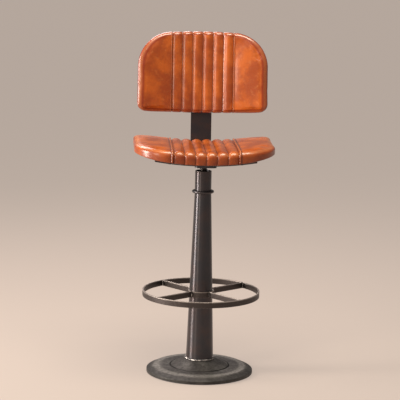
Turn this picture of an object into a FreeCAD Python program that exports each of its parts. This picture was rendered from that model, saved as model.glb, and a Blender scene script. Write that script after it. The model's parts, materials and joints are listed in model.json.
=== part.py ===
import FreeCAD, Part
import Sketcher
import math
import os

from FreeCAD import Placement, Rotation, Vector

# Bar chair: a tapered steel column on a round cast foot, with a footrest hoop,
# a screw spindle that turns the seat up and down, and two channelled leather
# cushions joined by one bent flat bar.
# The origin is on the floor under the column, +Z is up and the sitter faces -Y.

# Driving dimensions in millimetres and degrees: name, value, what it is.
SIZES = [
    ("clearance", 0.1, "gap between fixed round pieces that fit together"),
    ("running_clearance", 0.05, "radial gap of a turning or sliding fit"),
    ("soft_clearance", 0.3, "gap round foam and leather"),
    ("overrun", 20.0, "how far a cutting shape runs past what it cuts"),
    ("foot_radius", 182.0, "outer radius of the cast foot"),
    ("foot_lift", 2.5, "height of the casting above the floor"),
    ("foot_edge_height", 10.0, "upright edge of the foot"),
    ("foot_shoulder_radius", 158.0, "radius where the bevel meets the top"),
    ("foot_shoulder_height", 23.5, "height of the shoulder above the floor"),
    ("foot_plate_height", 25.0, "height of the top beside the recess"),
    ("foot_rim_width", 26.0, "width of the solid rim under the bevel"),
    ("foot_wall", 9.0, "thickness of the casting"),
    ("foot_rib_thickness", 7.0, "thickness of each rib under the foot"),
    ("foot_round", 3.0, "rounding of the foot's shoulder"),
    ("recess_radius", 101.6, "radius of the recess that takes the hub"),
    ("recess_floor_height", 16.0, "height of the recess floor"),
    ("foot_bore_radius", 14.0, "hole through the middle of the foot and hub"),
    ("pad_inner_radius", 164.0, "inner radius of the rubber floor ring"),
    ("pad_outer_radius", 176.0, "outer radius of the rubber floor ring"),
    ("pad_height", 5.5, "height of the rubber floor ring"),
    ("hub_radius", 100.0, "outer radius of the cast hub"),
    ("hub_edge_height", 9.5, "upright edge of the hub"),
    ("hub_neck_radius", 53.0, "radius of the hub under the column"),
    ("hub_top_height", 48.0, "height of the hub's top above the floor"),
    ("hub_spigot_height", 8.0, "spigot of the hub inside the column"),
    ("hub_spigot_clearance", 0.6, "gap round the hub's spigot"),
    ("foot_bolt_pitch_radius", 75.0, "pitch radius of the bolts under the foot"),
    ("foot_bolt_radius", 4.0, "shank radius of the bolts under the foot"),
    ("foot_bolt_hole_radius", 4.5, "clearance hole for those bolts"),
    ("foot_bolt_reach", 12.0, "length of bolt inside the hub"),
    ("foot_bolt_head_radius", 7.5, "corner radius of the hexagon heads"),
    ("foot_bolt_head_height", 4.4, "height of the hexagon heads"),
    ("weld_radius", 51.5, "outer radius of the weld at the column's foot"),
    ("weld_height", 8.0, "height of that weld"),
    ("column_foot_radius", 47.0, "outer radius at the column's foot"),
    ("column_top_radius", 28.3, "outer radius at the column's top"),
    ("column_length", 576.0, "length of the tapered tube"),
    ("column_wall", 3.0, "wall of the tapered tube"),
    ("ring_bar_radius", 4.7, "radius of the round bar of the collar ring"),
    ("sleeve_radius", 28.0, "outer radius of the sleeve above the column"),
    ("sleeve_wall", 4.0, "wall of the sleeve round the spindle nut"),
    ("sleeve_ledge", 2.0, "width of the ledge under the spindle nut"),
    ("sleeve_length", 76.0, "length of the sleeve above the column"),
    ("nut_recess", 8.0, "depth of the nut below the sleeve's top"),
    ("nut_height", 52.0, "height of the spindle nut"),
    ("hoop_radius", 200.0, "outer radius of the footrest hoop"),
    ("hoop_bar_width", 5.0, "thickness of the flat bar of the footrest"),
    ("hoop_bar_height", 20.0, "height of the flat bar of the footrest"),
    ("hoop_top_height", 288.0, "height of the footrest above the floor"),
    ("hoop_edge_round", 0.8, "rounded edge of the flat bars"),
    ("band_wall", 4.5, "wall of the band round the column"),
    ("spoke_turn", 39.5, "angle of the first spoke from +X"),
    ("spindle_radius", 13.0, "radius of the screw spindle"),
    ("spindle_chamfer", 1.0, "chamfer at the spindle's ends"),
    ("thread_pitch", 6.0, "rise of the seat per turn"),
    ("turns_up", 16.5, "turns from this height to the highest"),
    ("turns_down", 2.0, "turns from this height to the lowest"),
    ("stop_gap", 0.5, "gap left at the top stop"),
    ("washer_radius", 20.0, "outer radius of the stop washer"),
    ("washer_thickness", 3.0, "thickness of the stop washer"),
    ("washer_play", 0.15, "end play of the stop washer"),
    ("spindle_pin_radius", 8.0, "pin at the spindle's lower end"),
    ("spindle_pin_end", 2.4, "pin showing past the stop nut"),
    ("stop_nut_radius", 13.8, "corner radius of the hexagon stop nut"),
    ("stop_nut_height", 10.0, "height of the stop nut"),
    ("seat_gap", 4.0, "gap under the boss with the seat at its lowest"),
    ("lining_thickness", 1.0, "thickness of the lining under the seat"),
    ("cross_bar_thickness", 5.0, "thickness of the curved cross bars"),
    ("cross_bar_width", 40.0, "width of the curved cross bars"),
    ("cross_bar_length", 338.0, "length of the curved cross bars"),
    ("front_bar_place", 134.0, "distance of the front bar ahead of the axis"),
    ("rear_bar_place", 115.0, "distance of the rear bar behind the axis"),
    ("seat_bolt_place", 120.0, "distance of the seat bolts from the middle"),
    ("flange_thickness", 6.0, "thickness of the plate on the spindle"),
    ("flange_width", 68.0, "width of that plate"),
    ("flange_length", 120.0, "length of that plate"),
    ("flange_corner", 8.0, "corner radius of that plate"),
    ("boss_radius", 20.0, "radius of the boss under the plate"),
    ("boss_height", 8.0, "height of the boss under the plate"),
    ("flange_bolt_across", 44.0, "flange bolts, spacing across the seat"),
    ("flange_bolt_along", 90.0, "flange bolts, spacing along the seat"),
    ("flange_bolt_radius", 4.0, "shank radius of the flange bolts"),
    ("flange_bolt_head_height", 5.3, "head height of the flange bolts"),
    ("flange_nut_height", 4.0, "height of the thin nuts on those bolts"),
    ("stem_width", 72.0, "width of the flat bar that carries the back"),
    ("stem_thickness", 6.0, "thickness of that bar"),
    ("stem_bend_radius", 24.0, "inside radius of the bend"),
    ("stem_corner", 12.0, "corner radius at the bar's ends"),
    ("stem_upright", 205.0, "length of the bar above the back's lower edge"),
    ("stem_front_reach", 149.0, "reach of the bar ahead of the axis"),
    ("recline", 5.5, "backward lean of the back in degrees"),
    ("back_gap", 44.0, "distance of the back board behind the seat"),
    ("back_rise", 128.0, "back board's lower edge above the seat board"),
    ("seat_width", 478.0, "width of the seat"),
    ("seat_length", 358.0, "depth of the seat"),
    ("seat_front_reach", 180.0, "reach of the seat ahead of the axis"),
    ("seat_head_corner", 125.0, "corner radius at the seat's front"),
    ("seat_foot_corner", 26.0, "corner radius at the seat's rear"),
    ("seat_head_bow", 16.0, "bow of the seat's front edge"),
    ("seat_foot_bow", 3.0, "bow of the seat's rear edge"),
    ("seat_draw", 3.0, "how far the seat's sides are drawn in"),
    ("seat_dish_radius", 1050.0, "radius of the seat's hollow, under the board"),
    ("seat_top_radius", 1900.0, "radius of the seat's hollow, at the channel tops"),
    ("seat_thickness", 45.0, "board's underside to channel tops"),
    ("seat_head_round", 22.0, "rounding of the seat's front edge"),
    ("seat_foot_round", 20.0, "rounding of the seat's rear edge"),
    ("seat_head_pitch", 35.8, "channel pitch at the seat's front"),
    ("seat_foot_pitch", 35.2, "channel pitch at the seat's rear"),
    ("back_width", 454.0, "width of the back"),
    ("back_length", 283.0, "height of the back"),
    ("back_head_corner", 122.0, "corner radius at the back's top"),
    ("back_foot_corner", 26.0, "corner radius at the back's bottom"),
    ("back_head_bow", 14.0, "bow of the back's top edge"),
    ("back_foot_bow", 6.0, "bow of the back's bottom edge"),
    ("back_draw", 2.0, "how far the back's sides are drawn in"),
    ("back_dish_radius", 640.0, "radius of the back's hollow, behind the board"),
    ("back_top_radius", 596.0, "radius of the back's hollow, at the channel tops"),
    ("back_thickness", 44.0, "board's rear to channel tops"),
    ("back_head_round", 16.0, "rounding of the back's top edge"),
    ("back_foot_round", 14.0, "rounding of the back's bottom edge"),
    ("back_head_pitch", 35.2, "channel pitch at the back's top"),
    ("back_foot_pitch", 35.2, "channel pitch at the back's bottom"),
    ("rear_panel_thickness", 4.0, "thickness of the leather rear panel"),
    ("rear_panel_inset", 4.0, "rear panel inside the back's outline"),
    ("lining_inset", 9.0, "lining inside the seat's outline"),
    ("board_thickness", 9.0, "thickness of the bent plywood boards"),
    ("leather_thickness", 3.0, "leather with its wadding"),
    ("channel_depth", 6.5, "depth of the channels"),
    ("channel_crown", 2.0, "rise of the channels towards the middle"),
    ("channel_lap", 0.6, "how far neighbouring channels run together"),
    ("channel_root", 8.0, "depth of a channel's root inside the cushion"),
    ("channel_draft", 3.0, "how far the root is drawn in on each side"),
    ("channel_start", 3.0, "height where the channels begin on an edge"),
    ("panel_bolt_radius", 3.0, "shank radius of the bolts into the boards"),
    ("panel_bolt_head_radius", 5.5, "head radius of those bolts"),
    ("panel_bolt_head_height", 3.2, "head height of those bolts"),
    ("panel_bolt_hole_radius", 3.4, "clearance hole for those bolts"),
    ("tee_barrel_radius", 4.2, "barrel radius of the tee nuts"),
    ("tee_flange_radius", 9.0, "flange radius of the tee nuts"),
    ("tee_flange_thickness", 1.3, "flange thickness of the tee nuts"),
    ("back_bolt_across", 40.0, "back bolts, spacing across"),
    ("back_bolt_low", 60.0, "lower back bolts above the back's edge"),
    ("back_bolt_high", 160.0, "upper back bolts above the back's edge"),
]

FOOT_RIBS = 6
FOOT_BOLTS = 4
SPOKES = 4
CHANNELS = 6
HEXAGON = 6
CORNER_STEPS = 3

document = FreeCAD.newDocument("bar_chair")
sheet = document.addObject("Spreadsheet::Sheet", "Sizes")


class Size:
    """A number read from the sheet, with the expression that gives it."""

    def __init__(self, value, text):
        self.value = float(value)
        self.text = text

    def __add__(self, other):
        other = as_size(other)
        return Size(self.value + other.value, f"({self.text} + {other.text})")

    def __sub__(self, other):
        other = as_size(other)
        return Size(self.value - other.value, f"({self.text} - {other.text})")

    def __mul__(self, other):
        other = as_size(other)
        return Size(self.value * other.value, f"({self.text} * {other.text})")

    def __truediv__(self, other):
        other = as_size(other)
        return Size(self.value / other.value, f"({self.text} / {other.text})")

    def __neg__(self):
        return Size(-self.value, f"(-1 * {self.text})")

    def root(self):
        """The square root."""
        return Size(math.sqrt(self.value), f"sqrt({self.text})")


def as_size(number):
    """Gives a plain count or share the form of a Size."""
    if isinstance(number, Size):
        return number
    return Size(number, repr(number))


ZERO = Size(0, "0")


class Sizes:
    """Reads the driving dimensions by name."""

    def __init__(self):
        for row, (name, value, meaning) in enumerate(SIZES, start=1):
            sheet.set(f"A{row}", meaning)
            sheet.set(f"B{row}", str(value))
            sheet.setAlias(f"B{row}", name)
        document.recompute()

    def __getattr__(self, name):
        return Size(sheet.get(name), f"Sizes.{name}")


size = Sizes()


def bind(item, **properties):
    """Ties properties of an object to sizes."""
    for name, value in properties.items():
        item.setExpression(name, value.text)


def new_body(label):
    """A new body for one piece."""
    body = document.addObject("PartDesign::Body", label)
    body.Label = label
    return body


def new_sketch(body, name, role, offset=ZERO):
    """A sketch on one of the body's origin planes, shifted along its normal."""
    sketch = body.newObject("Sketcher::SketchObject", name)
    planes = [item for item in body.Origin.OriginFeatures if item.Role == role]
    sketch.AttachmentSupport = (planes[0], [""])
    sketch.MapMode = "FlatFace"
    sketch.AttachmentOffset = Placement(Vector(0, 0, offset.value), Rotation())
    if offset.value:
        sketch.setExpression("AttachmentOffset.Base.z", offset.text)
    return sketch


def new_tilted_sketch(body, name, role, centre, tilt):
    """A sketch on one of the body's origin planes, moved and tilted from it."""
    sketch = new_sketch(body, name, role)
    sketch.AttachmentOffset = Placement(centre, tilt)
    return sketch


def hold(sketch, kind, edge, point, value):
    """Holds a point of a sketch at a distance from the origin."""
    if value.value == 0:
        axis = -2 if kind == "DistanceX" else -1
        sketch.addConstraint(Sketcher.Constraint("PointOnObject", edge, point, axis))
        return
    constraint = Sketcher.Constraint(kind, -1, 1, edge, point, value.value)
    number = sketch.addConstraint(constraint)
    sketch.setExpression(f"Constraints[{number}]", value.text)


def short_arc(start, end, radius):
    """The short arc from start to end; a positive radius bulges to the right."""
    chord = end - start
    left = Vector(-chord.y, chord.x, 0).normalize()
    half = chord.Length / 2
    rise = math.sqrt(radius * radius - half * half)
    centre = (start + end) / 2 + left * math.copysign(rise, radius)
    first, last = (start, end) if radius > 0 else (end, start)
    low = math.atan2(first.y - centre.y, first.x - centre.x)
    high = math.atan2(last.y - centre.y, last.x - centre.x)
    if high < low:
        high += math.tau
    return Part.ArcOfCircle(Part.Circle(centre, Vector(0, 0, 1), abs(radius)), low, high)


def draw_outline(sketch, points, arcs=None):
    """A closed outline through the points; arcs gives a radius by edge number."""
    arcs = arcs or {}
    corners = [Vector(x.value, y.value, 0) for x, y in points]
    first = sketch.GeometryCount
    ends = []
    for index, start in enumerate(corners):
        end = corners[(index + 1) % len(corners)]
        if index not in arcs:
            sketch.addGeometry(Part.LineSegment(start, end))
            ends.append((1, 2))
            continue
        sketch.addGeometry(short_arc(start, end, arcs[index].value))
        ends.append((1, 2) if arcs[index].value > 0 else (2, 1))
    for index in range(len(corners)):
        following = (index + 1) % len(corners)
        sketch.addConstraint(Sketcher.Constraint(
            "Coincident", first + index, ends[index][1], first + following, ends[following][0]))
    for index, (x, y) in enumerate(points):
        hold(sketch, "DistanceX", first + index, ends[index][0], x)
        hold(sketch, "DistanceY", first + index, ends[index][0], y)
    for index, radius in arcs.items():
        radius = radius if radius.value > 0 else -radius
        number = sketch.addConstraint(Sketcher.Constraint("Radius", first + index, radius.value))
        sketch.setExpression(f"Constraints[{number}]", radius.text)


def draw_circle(sketch, x, y, radius):
    """A circle held by its centre and radius."""
    centre = Vector(x.value, y.value, 0)
    edge = sketch.addGeometry(Part.Circle(centre, Vector(0, 0, 1), radius.value))
    hold(sketch, "DistanceX", edge, 3, x)
    hold(sketch, "DistanceY", edge, 3, y)
    number = sketch.addConstraint(Sketcher.Constraint("Radius", edge, radius.value))
    sketch.setExpression(f"Constraints[{number}]", radius.text)


def around(pitch_radius, count, turn_share=0.0):
    """Points evenly spaced on a circle; turn_share shifts them by a share of a step."""
    places = []
    for index in range(count):
        angle = math.tau * (index + turn_share) / count
        places.append((pitch_radius * math.cos(angle), pitch_radius * math.sin(angle)))
    return places


def turn_about_z(body, name, points, arcs=None):
    """Revolves an outline, given as radius and height, about the column's axis."""
    sketch = new_sketch(body, name + "_outline", "XZ_Plane")
    draw_outline(sketch, points, arcs)
    feature = body.newObject("PartDesign::Revolution", name)
    feature.Profile = sketch
    feature.ReferenceAxis = (sketch, ["V_Axis"])
    feature.Angle = 360
    return feature


def pad(body, name, sketch, length, symmetric=False):
    """Thickens a sketch by a length."""
    feature = body.newObject("PartDesign::Pad", name)
    feature.Profile = sketch
    feature.SideType = "Symmetric" if symmetric else "One side"
    bind(feature, Length=length)
    return feature


def pocket_through(body, name, sketch, depth):
    """Cuts a sketch through the body, the same depth to both sides."""
    feature = body.newObject("PartDesign::Pocket", name)
    feature.Profile = sketch
    feature.SideType = "Symmetric"
    bind(feature, Length=depth)
    return feature


def round_edges(body, name, base, chosen, radius):
    """Fillets the edges of the base that the test picks."""
    document.recompute()
    names = [f"Edge{number}" for number, edge in enumerate(base.Shape.Edges, start=1) if chosen(edge)]
    feature = body.newObject("PartDesign::Fillet", name)
    feature.Base = (base, names)
    bind(feature, Radius=radius)
    return feature


def is_circle(edge, radius, height):
    """True for a whole circle of that radius at that height."""
    curve = edge.Curve
    if not isinstance(curve, Part.Circle):
        return False
    fine = size.clearance.value
    return abs(curve.Radius - radius.value) < fine and abs(curve.Center.z - height.value) < fine


def feature_from(label, shape, placement=None):
    """A piece whose shape is worked out from the sheet's sizes."""
    feature = document.addObject("Part::Feature", label)
    feature.Label = label
    feature.Shape = shape
    if placement is not None:
        feature.Placement = placement
    return feature


# Heights and radii that several pieces share.
plate_underside = size.recess_floor_height - size.foot_wall
hub_top = size.hub_top_height
column_top = hub_top + size.column_length
sleeve_top = column_top + size.sleeve_length
boss_bottom = sleeve_top + size.thread_pitch * size.turns_down + size.seat_gap
flange_bottom = boss_bottom + size.boss_height
stem_bottom = flange_bottom + size.flange_thickness
bar_bottom = stem_bottom + size.stem_thickness
seat_height = bar_bottom + size.cross_bar_thickness + size.lining_thickness
seat_rear = size.seat_length - size.seat_front_reach
back_place = seat_rear + size.back_gap
back_height = seat_height + size.back_rise
nut_top = sleeve_top - size.nut_recess
nut_bottom = nut_top - size.nut_height
washer_top = nut_bottom - size.thread_pitch * size.turns_up - size.stop_gap
washer_bottom = washer_top - size.washer_thickness
stop_nut_top = washer_bottom - size.washer_play
stop_nut_bottom = stop_nut_top - size.stop_nut_height


def column_radius(height):
    """Outer radius of the tapered column at a height."""
    fall = size.column_foot_radius - size.column_top_radius
    share = (height - hub_top) / (column_top - hub_top)
    return size.column_foot_radius - fall * share


def make_base_casting():
    """Round cast foot: bevelled top, recess for the hub, ribs underneath."""
    body = new_body("base_casting")
    edge_top = size.foot_lift + size.foot_edge_height
    rim_inner = size.foot_radius - size.foot_rim_width
    web_radius = size.recess_radius + size.foot_wall
    casting = turn_about_z(body, "casting", [
        (size.foot_bore_radius, size.recess_floor_height),
        (size.recess_radius, size.recess_floor_height),
        (size.recess_radius, size.foot_plate_height),
        (size.foot_shoulder_radius, size.foot_shoulder_height),
        (size.foot_radius, edge_top),
        (size.foot_radius, size.foot_lift),
        (size.pad_outer_radius, size.foot_lift),
        (size.pad_outer_radius, size.pad_height),
        (size.pad_inner_radius, size.pad_height),
        (size.pad_inner_radius, size.foot_lift),
        (rim_inner, size.foot_lift),
        (rim_inner, size.foot_shoulder_height - size.foot_wall),
        (web_radius, size.foot_plate_height - size.foot_wall),
        (web_radius, plate_underside),
        (size.foot_bore_radius, plate_underside),
    ])
    round_edges(body, "shoulder_round", casting, lambda edge: (
        is_circle(edge, size.foot_shoulder_radius, size.foot_shoulder_height)
        or is_circle(edge, size.foot_radius, edge_top)), size.foot_round)
    sketch = new_sketch(body, "rib_outline", "XY_Plane", plate_underside)
    half = size.foot_rib_thickness / 2
    inner = web_radius - size.foot_wall / 2
    outer = rim_inner + size.foot_wall / 2
    draw_outline(sketch, [(inner, -half), (outer, -half), (outer, half), (inner, half)])
    rib = pad(body, "rib", sketch, size.foot_plate_height - size.foot_wall / 2 - plate_underside)
    document.recompute()
    ribs = body.newObject("PartDesign::PolarPattern", "ribs")
    ribs.Originals = [rib]
    ribs.Axis = (sketch, ["N_Axis"])
    ribs.Angle = 360
    ribs.Occurrences = FOOT_RIBS
    body.Tip = ribs
    holes = new_sketch(body, "bolt_holes_outline", "XY_Plane")
    for x, y in around(size.foot_bolt_pitch_radius, FOOT_BOLTS, turn_share=0.5):
        draw_circle(holes, x, y, size.foot_bolt_hole_radius)
    pocket_through(body, "bolt_holes", holes, size.foot_plate_height * 2)
    return body


def make_floor_ring():
    """Rubber ring in its groove under the foot, which rests on the floor."""
    body = new_body("floor_ring")
    turn_about_z(body, "ring", [
        (size.pad_inner_radius + size.clearance, ZERO),
        (size.pad_outer_radius - size.clearance, ZERO),
        (size.pad_outer_radius - size.clearance, size.pad_height),
        (size.pad_inner_radius + size.clearance, size.pad_height),
    ])
    return body


def make_base_hub():
    """Cast cone in the foot's recess, with the spigot that centres the column."""
    body = new_body("base_hub")
    spigot = size.column_foot_radius - size.column_wall - size.hub_spigot_clearance
    hub = turn_about_z(body, "cone", [
        (size.foot_bore_radius, size.recess_floor_height),
        (size.hub_radius, size.recess_floor_height),
        (size.hub_radius, size.recess_floor_height + size.hub_edge_height),
        (size.hub_neck_radius, hub_top),
        (spigot, hub_top),
        (spigot, hub_top + size.hub_spigot_height),
        (size.foot_bore_radius, hub_top + size.hub_spigot_height),
    ])
    edge = size.recess_floor_height + size.hub_edge_height
    round_edges(body, "edge_round", hub, lambda item: is_circle(item, size.hub_radius, edge),
                size.foot_round)
    holes = new_sketch(body, "thread_outline", "XY_Plane", size.recess_floor_height)
    for x, y in around(size.foot_bolt_pitch_radius, FOOT_BOLTS, turn_share=0.5):
        draw_circle(holes, x, y, size.foot_bolt_radius + size.running_clearance)
    pocket_through(body, "threads", holes, (size.foot_bolt_reach + size.foot_bolt_radius / 4) * 2)
    return body


def hexagon_bolt(radius, reach, head_radius, head_height):
    """A bolt along +Z from the underside of its head at the origin."""
    head = Part.makeCylinder(head_radius, head_height, Vector(0, 0, -head_height))
    corners = [Vector(math.cos(math.tau * index / HEXAGON), math.sin(math.tau * index / HEXAGON), 0)
               * head_radius for index in range(HEXAGON)]
    wire = Part.makePolygon(corners + corners[:1])
    prism = Part.Face(wire).extrude(Vector(0, 0, -head_height))
    return head.common(prism).fuse(Part.makeCylinder(radius, reach))


def hexagon_nut(radius, bore, height):
    """A nut along +Z, its lower face at the origin."""
    corners = [Vector(math.cos(math.tau * index / HEXAGON), math.sin(math.tau * index / HEXAGON), 0)
               * radius for index in range(HEXAGON)]
    prism = Part.Face(Part.makePolygon(corners + corners[:1])).extrude(Vector(0, 0, height))
    return prism.cut(Part.makeCylinder(bore, height))


def copies_at(shape, placements):
    """One group of separate solids, a copy at each placement."""
    copies = []
    for placement in placements:
        copy = shape.copy()
        copy.Placement = placement
        copies.append(copy)
    return Part.makeCompound(copies)


def make_base_bolts():
    """Bolts up through the foot into the hub."""
    bolt = hexagon_bolt(size.foot_bolt_radius.value,
                        (size.foot_wall + size.foot_bolt_reach).value,
                        size.foot_bolt_head_radius.value, size.foot_bolt_head_height.value)
    places = around(size.foot_bolt_pitch_radius, FOOT_BOLTS, turn_share=0.5)
    return feature_from("base_bolts", copies_at(bolt, [
        Placement(Vector(x.value, y.value, plate_underside.value), Rotation()) for x, y in places]))


def make_foot_weld():
    """Weld bead round the column's foot, on the hub's top."""
    body = new_body("foot_weld")
    top = hub_top + size.weld_height
    turn_about_z(body, "bead", [
        (column_radius(hub_top) + size.clearance, hub_top),
        (size.weld_radius, hub_top),
        (size.weld_radius, hub_top + size.weld_height / 2),
        (column_radius(top) + size.clearance, top),
    ], {2: size.weld_height})
    return body


def make_column():
    """Tapered steel tube."""
    body = new_body("column")
    turn_about_z(body, "tube", [
        (size.column_foot_radius, hub_top),
        (size.column_top_radius, column_top),
        (size.column_top_radius - size.column_wall, column_top),
        (size.column_foot_radius - size.column_wall, hub_top),
    ])
    return body


def make_column_ring():
    """Round bar ring that hides the joint of column and sleeve."""
    ring = document.addObject("Part::Torus", "column_ring")
    ring.Label = "column_ring"
    bind(ring, Radius1=size.sleeve_radius + size.running_clearance + size.ring_bar_radius,
         Radius2=size.ring_bar_radius)
    ring.setExpression("Placement.Base.z", (column_top + size.ring_bar_radius).text)
    return ring


def make_column_sleeve():
    """Sleeve on the column's top, with the ledge that carries the spindle nut."""
    body = new_body("column_sleeve")
    seat = size.sleeve_radius - size.sleeve_wall
    ledge = seat - size.sleeve_ledge
    turn_about_z(body, "tube", [
        (ledge, column_top),
        (size.sleeve_radius, column_top),
        (size.sleeve_radius, sleeve_top - size.sleeve_wall / 4),
        (size.sleeve_radius - size.sleeve_wall / 4, sleeve_top),
        (seat, sleeve_top),
        (seat, nut_bottom),
        (ledge, nut_bottom),
    ])
    return body


def make_spindle_nut():
    """Bronze nut that the spindle turns in."""
    body = new_body("spindle_nut")
    outer = size.sleeve_radius - size.sleeve_wall - size.running_clearance
    bore = size.spindle_radius + size.running_clearance
    turn_about_z(body, "nut", [
        (bore, nut_bottom),
        (outer, nut_bottom),
        (outer, nut_top),
        (bore + size.spindle_chamfer, nut_top),
        (bore, nut_top - size.spindle_chamfer),
    ])
    return body


hoop_bottom = size.hoop_top_height - size.hoop_bar_height
hoop_inner = size.hoop_radius - size.hoop_bar_width
band_outer = column_radius(hoop_bottom) + size.clearance + size.band_wall


def make_footrest_band():
    """Tapered band round the column, which carries the spokes."""
    body = new_body("footrest_band")
    turn_about_z(body, "band", [
        (column_radius(hoop_bottom) + size.clearance, hoop_bottom),
        (band_outer, hoop_bottom),
        (band_outer, size.hoop_top_height),
        (column_radius(size.hoop_top_height) + size.clearance, size.hoop_top_height),
    ])
    return body


def make_footrest_hoop():
    """Hoop of flat bar on edge."""
    body = new_body("footrest_hoop")
    hoop = turn_about_z(body, "bar", [
        (hoop_inner, hoop_bottom),
        (size.hoop_radius, hoop_bottom),
        (size.hoop_radius, size.hoop_top_height),
        (hoop_inner, size.hoop_top_height),
    ])
    round_edges(body, "bar_round", hoop, lambda edge: isinstance(edge.Curve, Part.Circle),
                size.hoop_edge_round)
    return body


def make_spoke(number):
    """Flat bar spoke from the band to the hoop."""
    body = new_body(f"footrest_spoke_{number + 1}")
    half = size.hoop_bar_width / 2
    end = (hoop_inner * hoop_inner - half * half).root()
    sketch = new_sketch(body, "spoke_outline", "XY_Plane", hoop_bottom)
    draw_outline(sketch, [(band_outer, -half), (end, -half), (end, half), (band_outer, half)])
    bar = pad(body, "spoke", sketch, size.hoop_bar_height)
    round_edges(body, "spoke_round", bar, lambda edge: (
        abs(edge.Vertexes[0].Z - edge.Vertexes[1].Z) < size.clearance.value
        and abs(edge.Vertexes[0].Y - edge.Vertexes[1].Y) < size.clearance.value),
        size.hoop_edge_round)
    turn = size.spoke_turn.value + 360 * number / SPOKES
    body.Placement = Placement(Vector(), Rotation(Vector(0, 0, 1), turn))
    return body


def make_stop_washer():
    """Loose washer that meets the spindle nut when the seat is fully up."""
    body = new_body("stop_washer")
    bore = size.spindle_pin_radius + size.running_clearance
    turn_about_z(body, "washer", [
        (bore, washer_bottom), (size.washer_radius, washer_bottom),
        (size.washer_radius, washer_top), (bore, washer_top),
    ])
    return body


def make_spindle():
    """Screw spindle, with the pin that holds the washer and the stop nut."""
    body = new_body("spindle")
    shoulder = washer_top + size.washer_play
    end = stop_nut_bottom - size.spindle_pin_end
    turn_about_z(body, "rod", [
        (ZERO, end),
        (size.spindle_pin_radius - size.spindle_chamfer, end),
        (size.spindle_pin_radius, end + size.spindle_chamfer),
        (size.spindle_pin_radius, shoulder),
        (size.spindle_radius - size.spindle_chamfer, shoulder),
        (size.spindle_radius, shoulder + size.spindle_chamfer),
        (size.spindle_radius, flange_bottom),
        (ZERO, flange_bottom),
    ])
    return body


def make_stop_nut():
    """Hexagon nut that keeps the washer on the spindle."""
    nut = hexagon_nut(size.stop_nut_radius.value,
                      (size.spindle_pin_radius + size.running_clearance).value,
                      size.stop_nut_height.value)
    return feature_from("stop_nut", nut, Placement(Vector(0, 0, stop_nut_bottom.value), Rotation()))


def flange_bolt_places():
    """The four places of the flange bolts, seen from above."""
    across = size.flange_bolt_across / 2
    along = size.flange_bolt_along / 2
    return [(across * x, along * y) for x in (-1, 1) for y in (-1, 1)]


def make_spindle_flange():
    """Plate and boss welded to the spindle's top."""
    body = new_body("spindle_flange")
    plate = new_sketch(body, "plate_outline", "XY_Plane", flange_bottom)
    x = size.flange_width / 2
    y = size.flange_length / 2
    draw_outline(plate, [(-x, -y), (x, -y), (x, y), (-x, y)])
    base = pad(body, "plate", plate, size.flange_thickness)
    round_edges(body, "plate_corners", base, lambda edge: (
        abs(edge.Vertexes[0].Z - edge.Vertexes[1].Z) > size.clearance.value), size.flange_corner)
    boss = new_sketch(body, "boss_outline", "XY_Plane", boss_bottom)
    draw_circle(boss, ZERO, ZERO, size.boss_radius)
    draw_circle(boss, ZERO, ZERO, size.spindle_radius + size.running_clearance)
    pad(body, "boss", boss, size.boss_height)
    holes = new_sketch(body, "holes_outline", "XY_Plane", flange_bottom)
    for place_x, place_y in flange_bolt_places():
        draw_circle(holes, place_x, place_y, size.flange_bolt_radius + size.clearance)
    pocket_through(body, "holes", holes, size.flange_thickness * 3)
    return body


def make_flange_bolts():
    """Bolts up through the flange and the stem, and their thin nuts."""
    stack = size.flange_thickness + size.stem_thickness
    bolt = hexagon_bolt(size.flange_bolt_radius.value,
                        (stack + size.flange_nut_height).value,
                        size.foot_bolt_head_radius.value, size.flange_bolt_head_height.value)
    nut = hexagon_nut(size.foot_bolt_head_radius.value,
                      (size.flange_bolt_radius + size.running_clearance).value,
                      size.flange_nut_height.value)
    places = [(x.value, y.value) for x, y in flange_bolt_places()]
    feature_from("flange_bolts", copies_at(bolt, [
        Placement(Vector(x, y, flange_bottom.value), Rotation()) for x, y in places]))
    feature_from("flange_nuts", copies_at(nut, [
        Placement(Vector(x, y, bar_bottom.value), Rotation()) for x, y in places]))


def seat_tilt_at(distance):
    """Angle of the dished seat's surface at a distance from the middle, in degrees."""
    under_bar = size.seat_dish_radius + size.lining_thickness + size.cross_bar_thickness
    return math.degrees(math.asin(distance.value / under_bar.value))


def make_cross_bar(label, place):
    """Flat bar curved to the seat, across the stem; place is its distance along Y."""
    body = new_body(label)
    top_radius = size.seat_dish_radius + size.lining_thickness
    bottom_radius = top_radius + size.cross_bar_thickness
    centre = seat_height + size.seat_dish_radius
    half = size.cross_bar_length / 2
    top = centre - (top_radius * top_radius - half * half).root()
    bottom = centre - (bottom_radius * bottom_radius - half * half).root()
    sketch = new_sketch(body, "bar_outline", "XZ_Plane", -place)
    draw_outline(sketch, [(-half, bottom), (half, bottom), (half, top), (-half, top)],
                 {0: bottom_radius, 2: -top_radius})
    pad(body, "bar", sketch, size.cross_bar_width, symmetric=True)
    for side in (-1, 1):
        tilt = seat_tilt_at(size.seat_bolt_place)
        drop = bottom_radius.value * math.cos(math.radians(tilt))
        spot = Vector(side * size.seat_bolt_place.value, place.value, centre.value - drop)
        hole = new_tilted_sketch(body, f"hole_outline_{side + 2}", "XY_Plane", spot,
                                 Rotation(Vector(0, 1, 0), -side * tilt))
        draw_circle(hole, ZERO, ZERO, size.panel_bolt_hole_radius)
        pocket_through(body, f"hole_{side + 2}", hole, size.cross_bar_thickness * 4)
    return body


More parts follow.
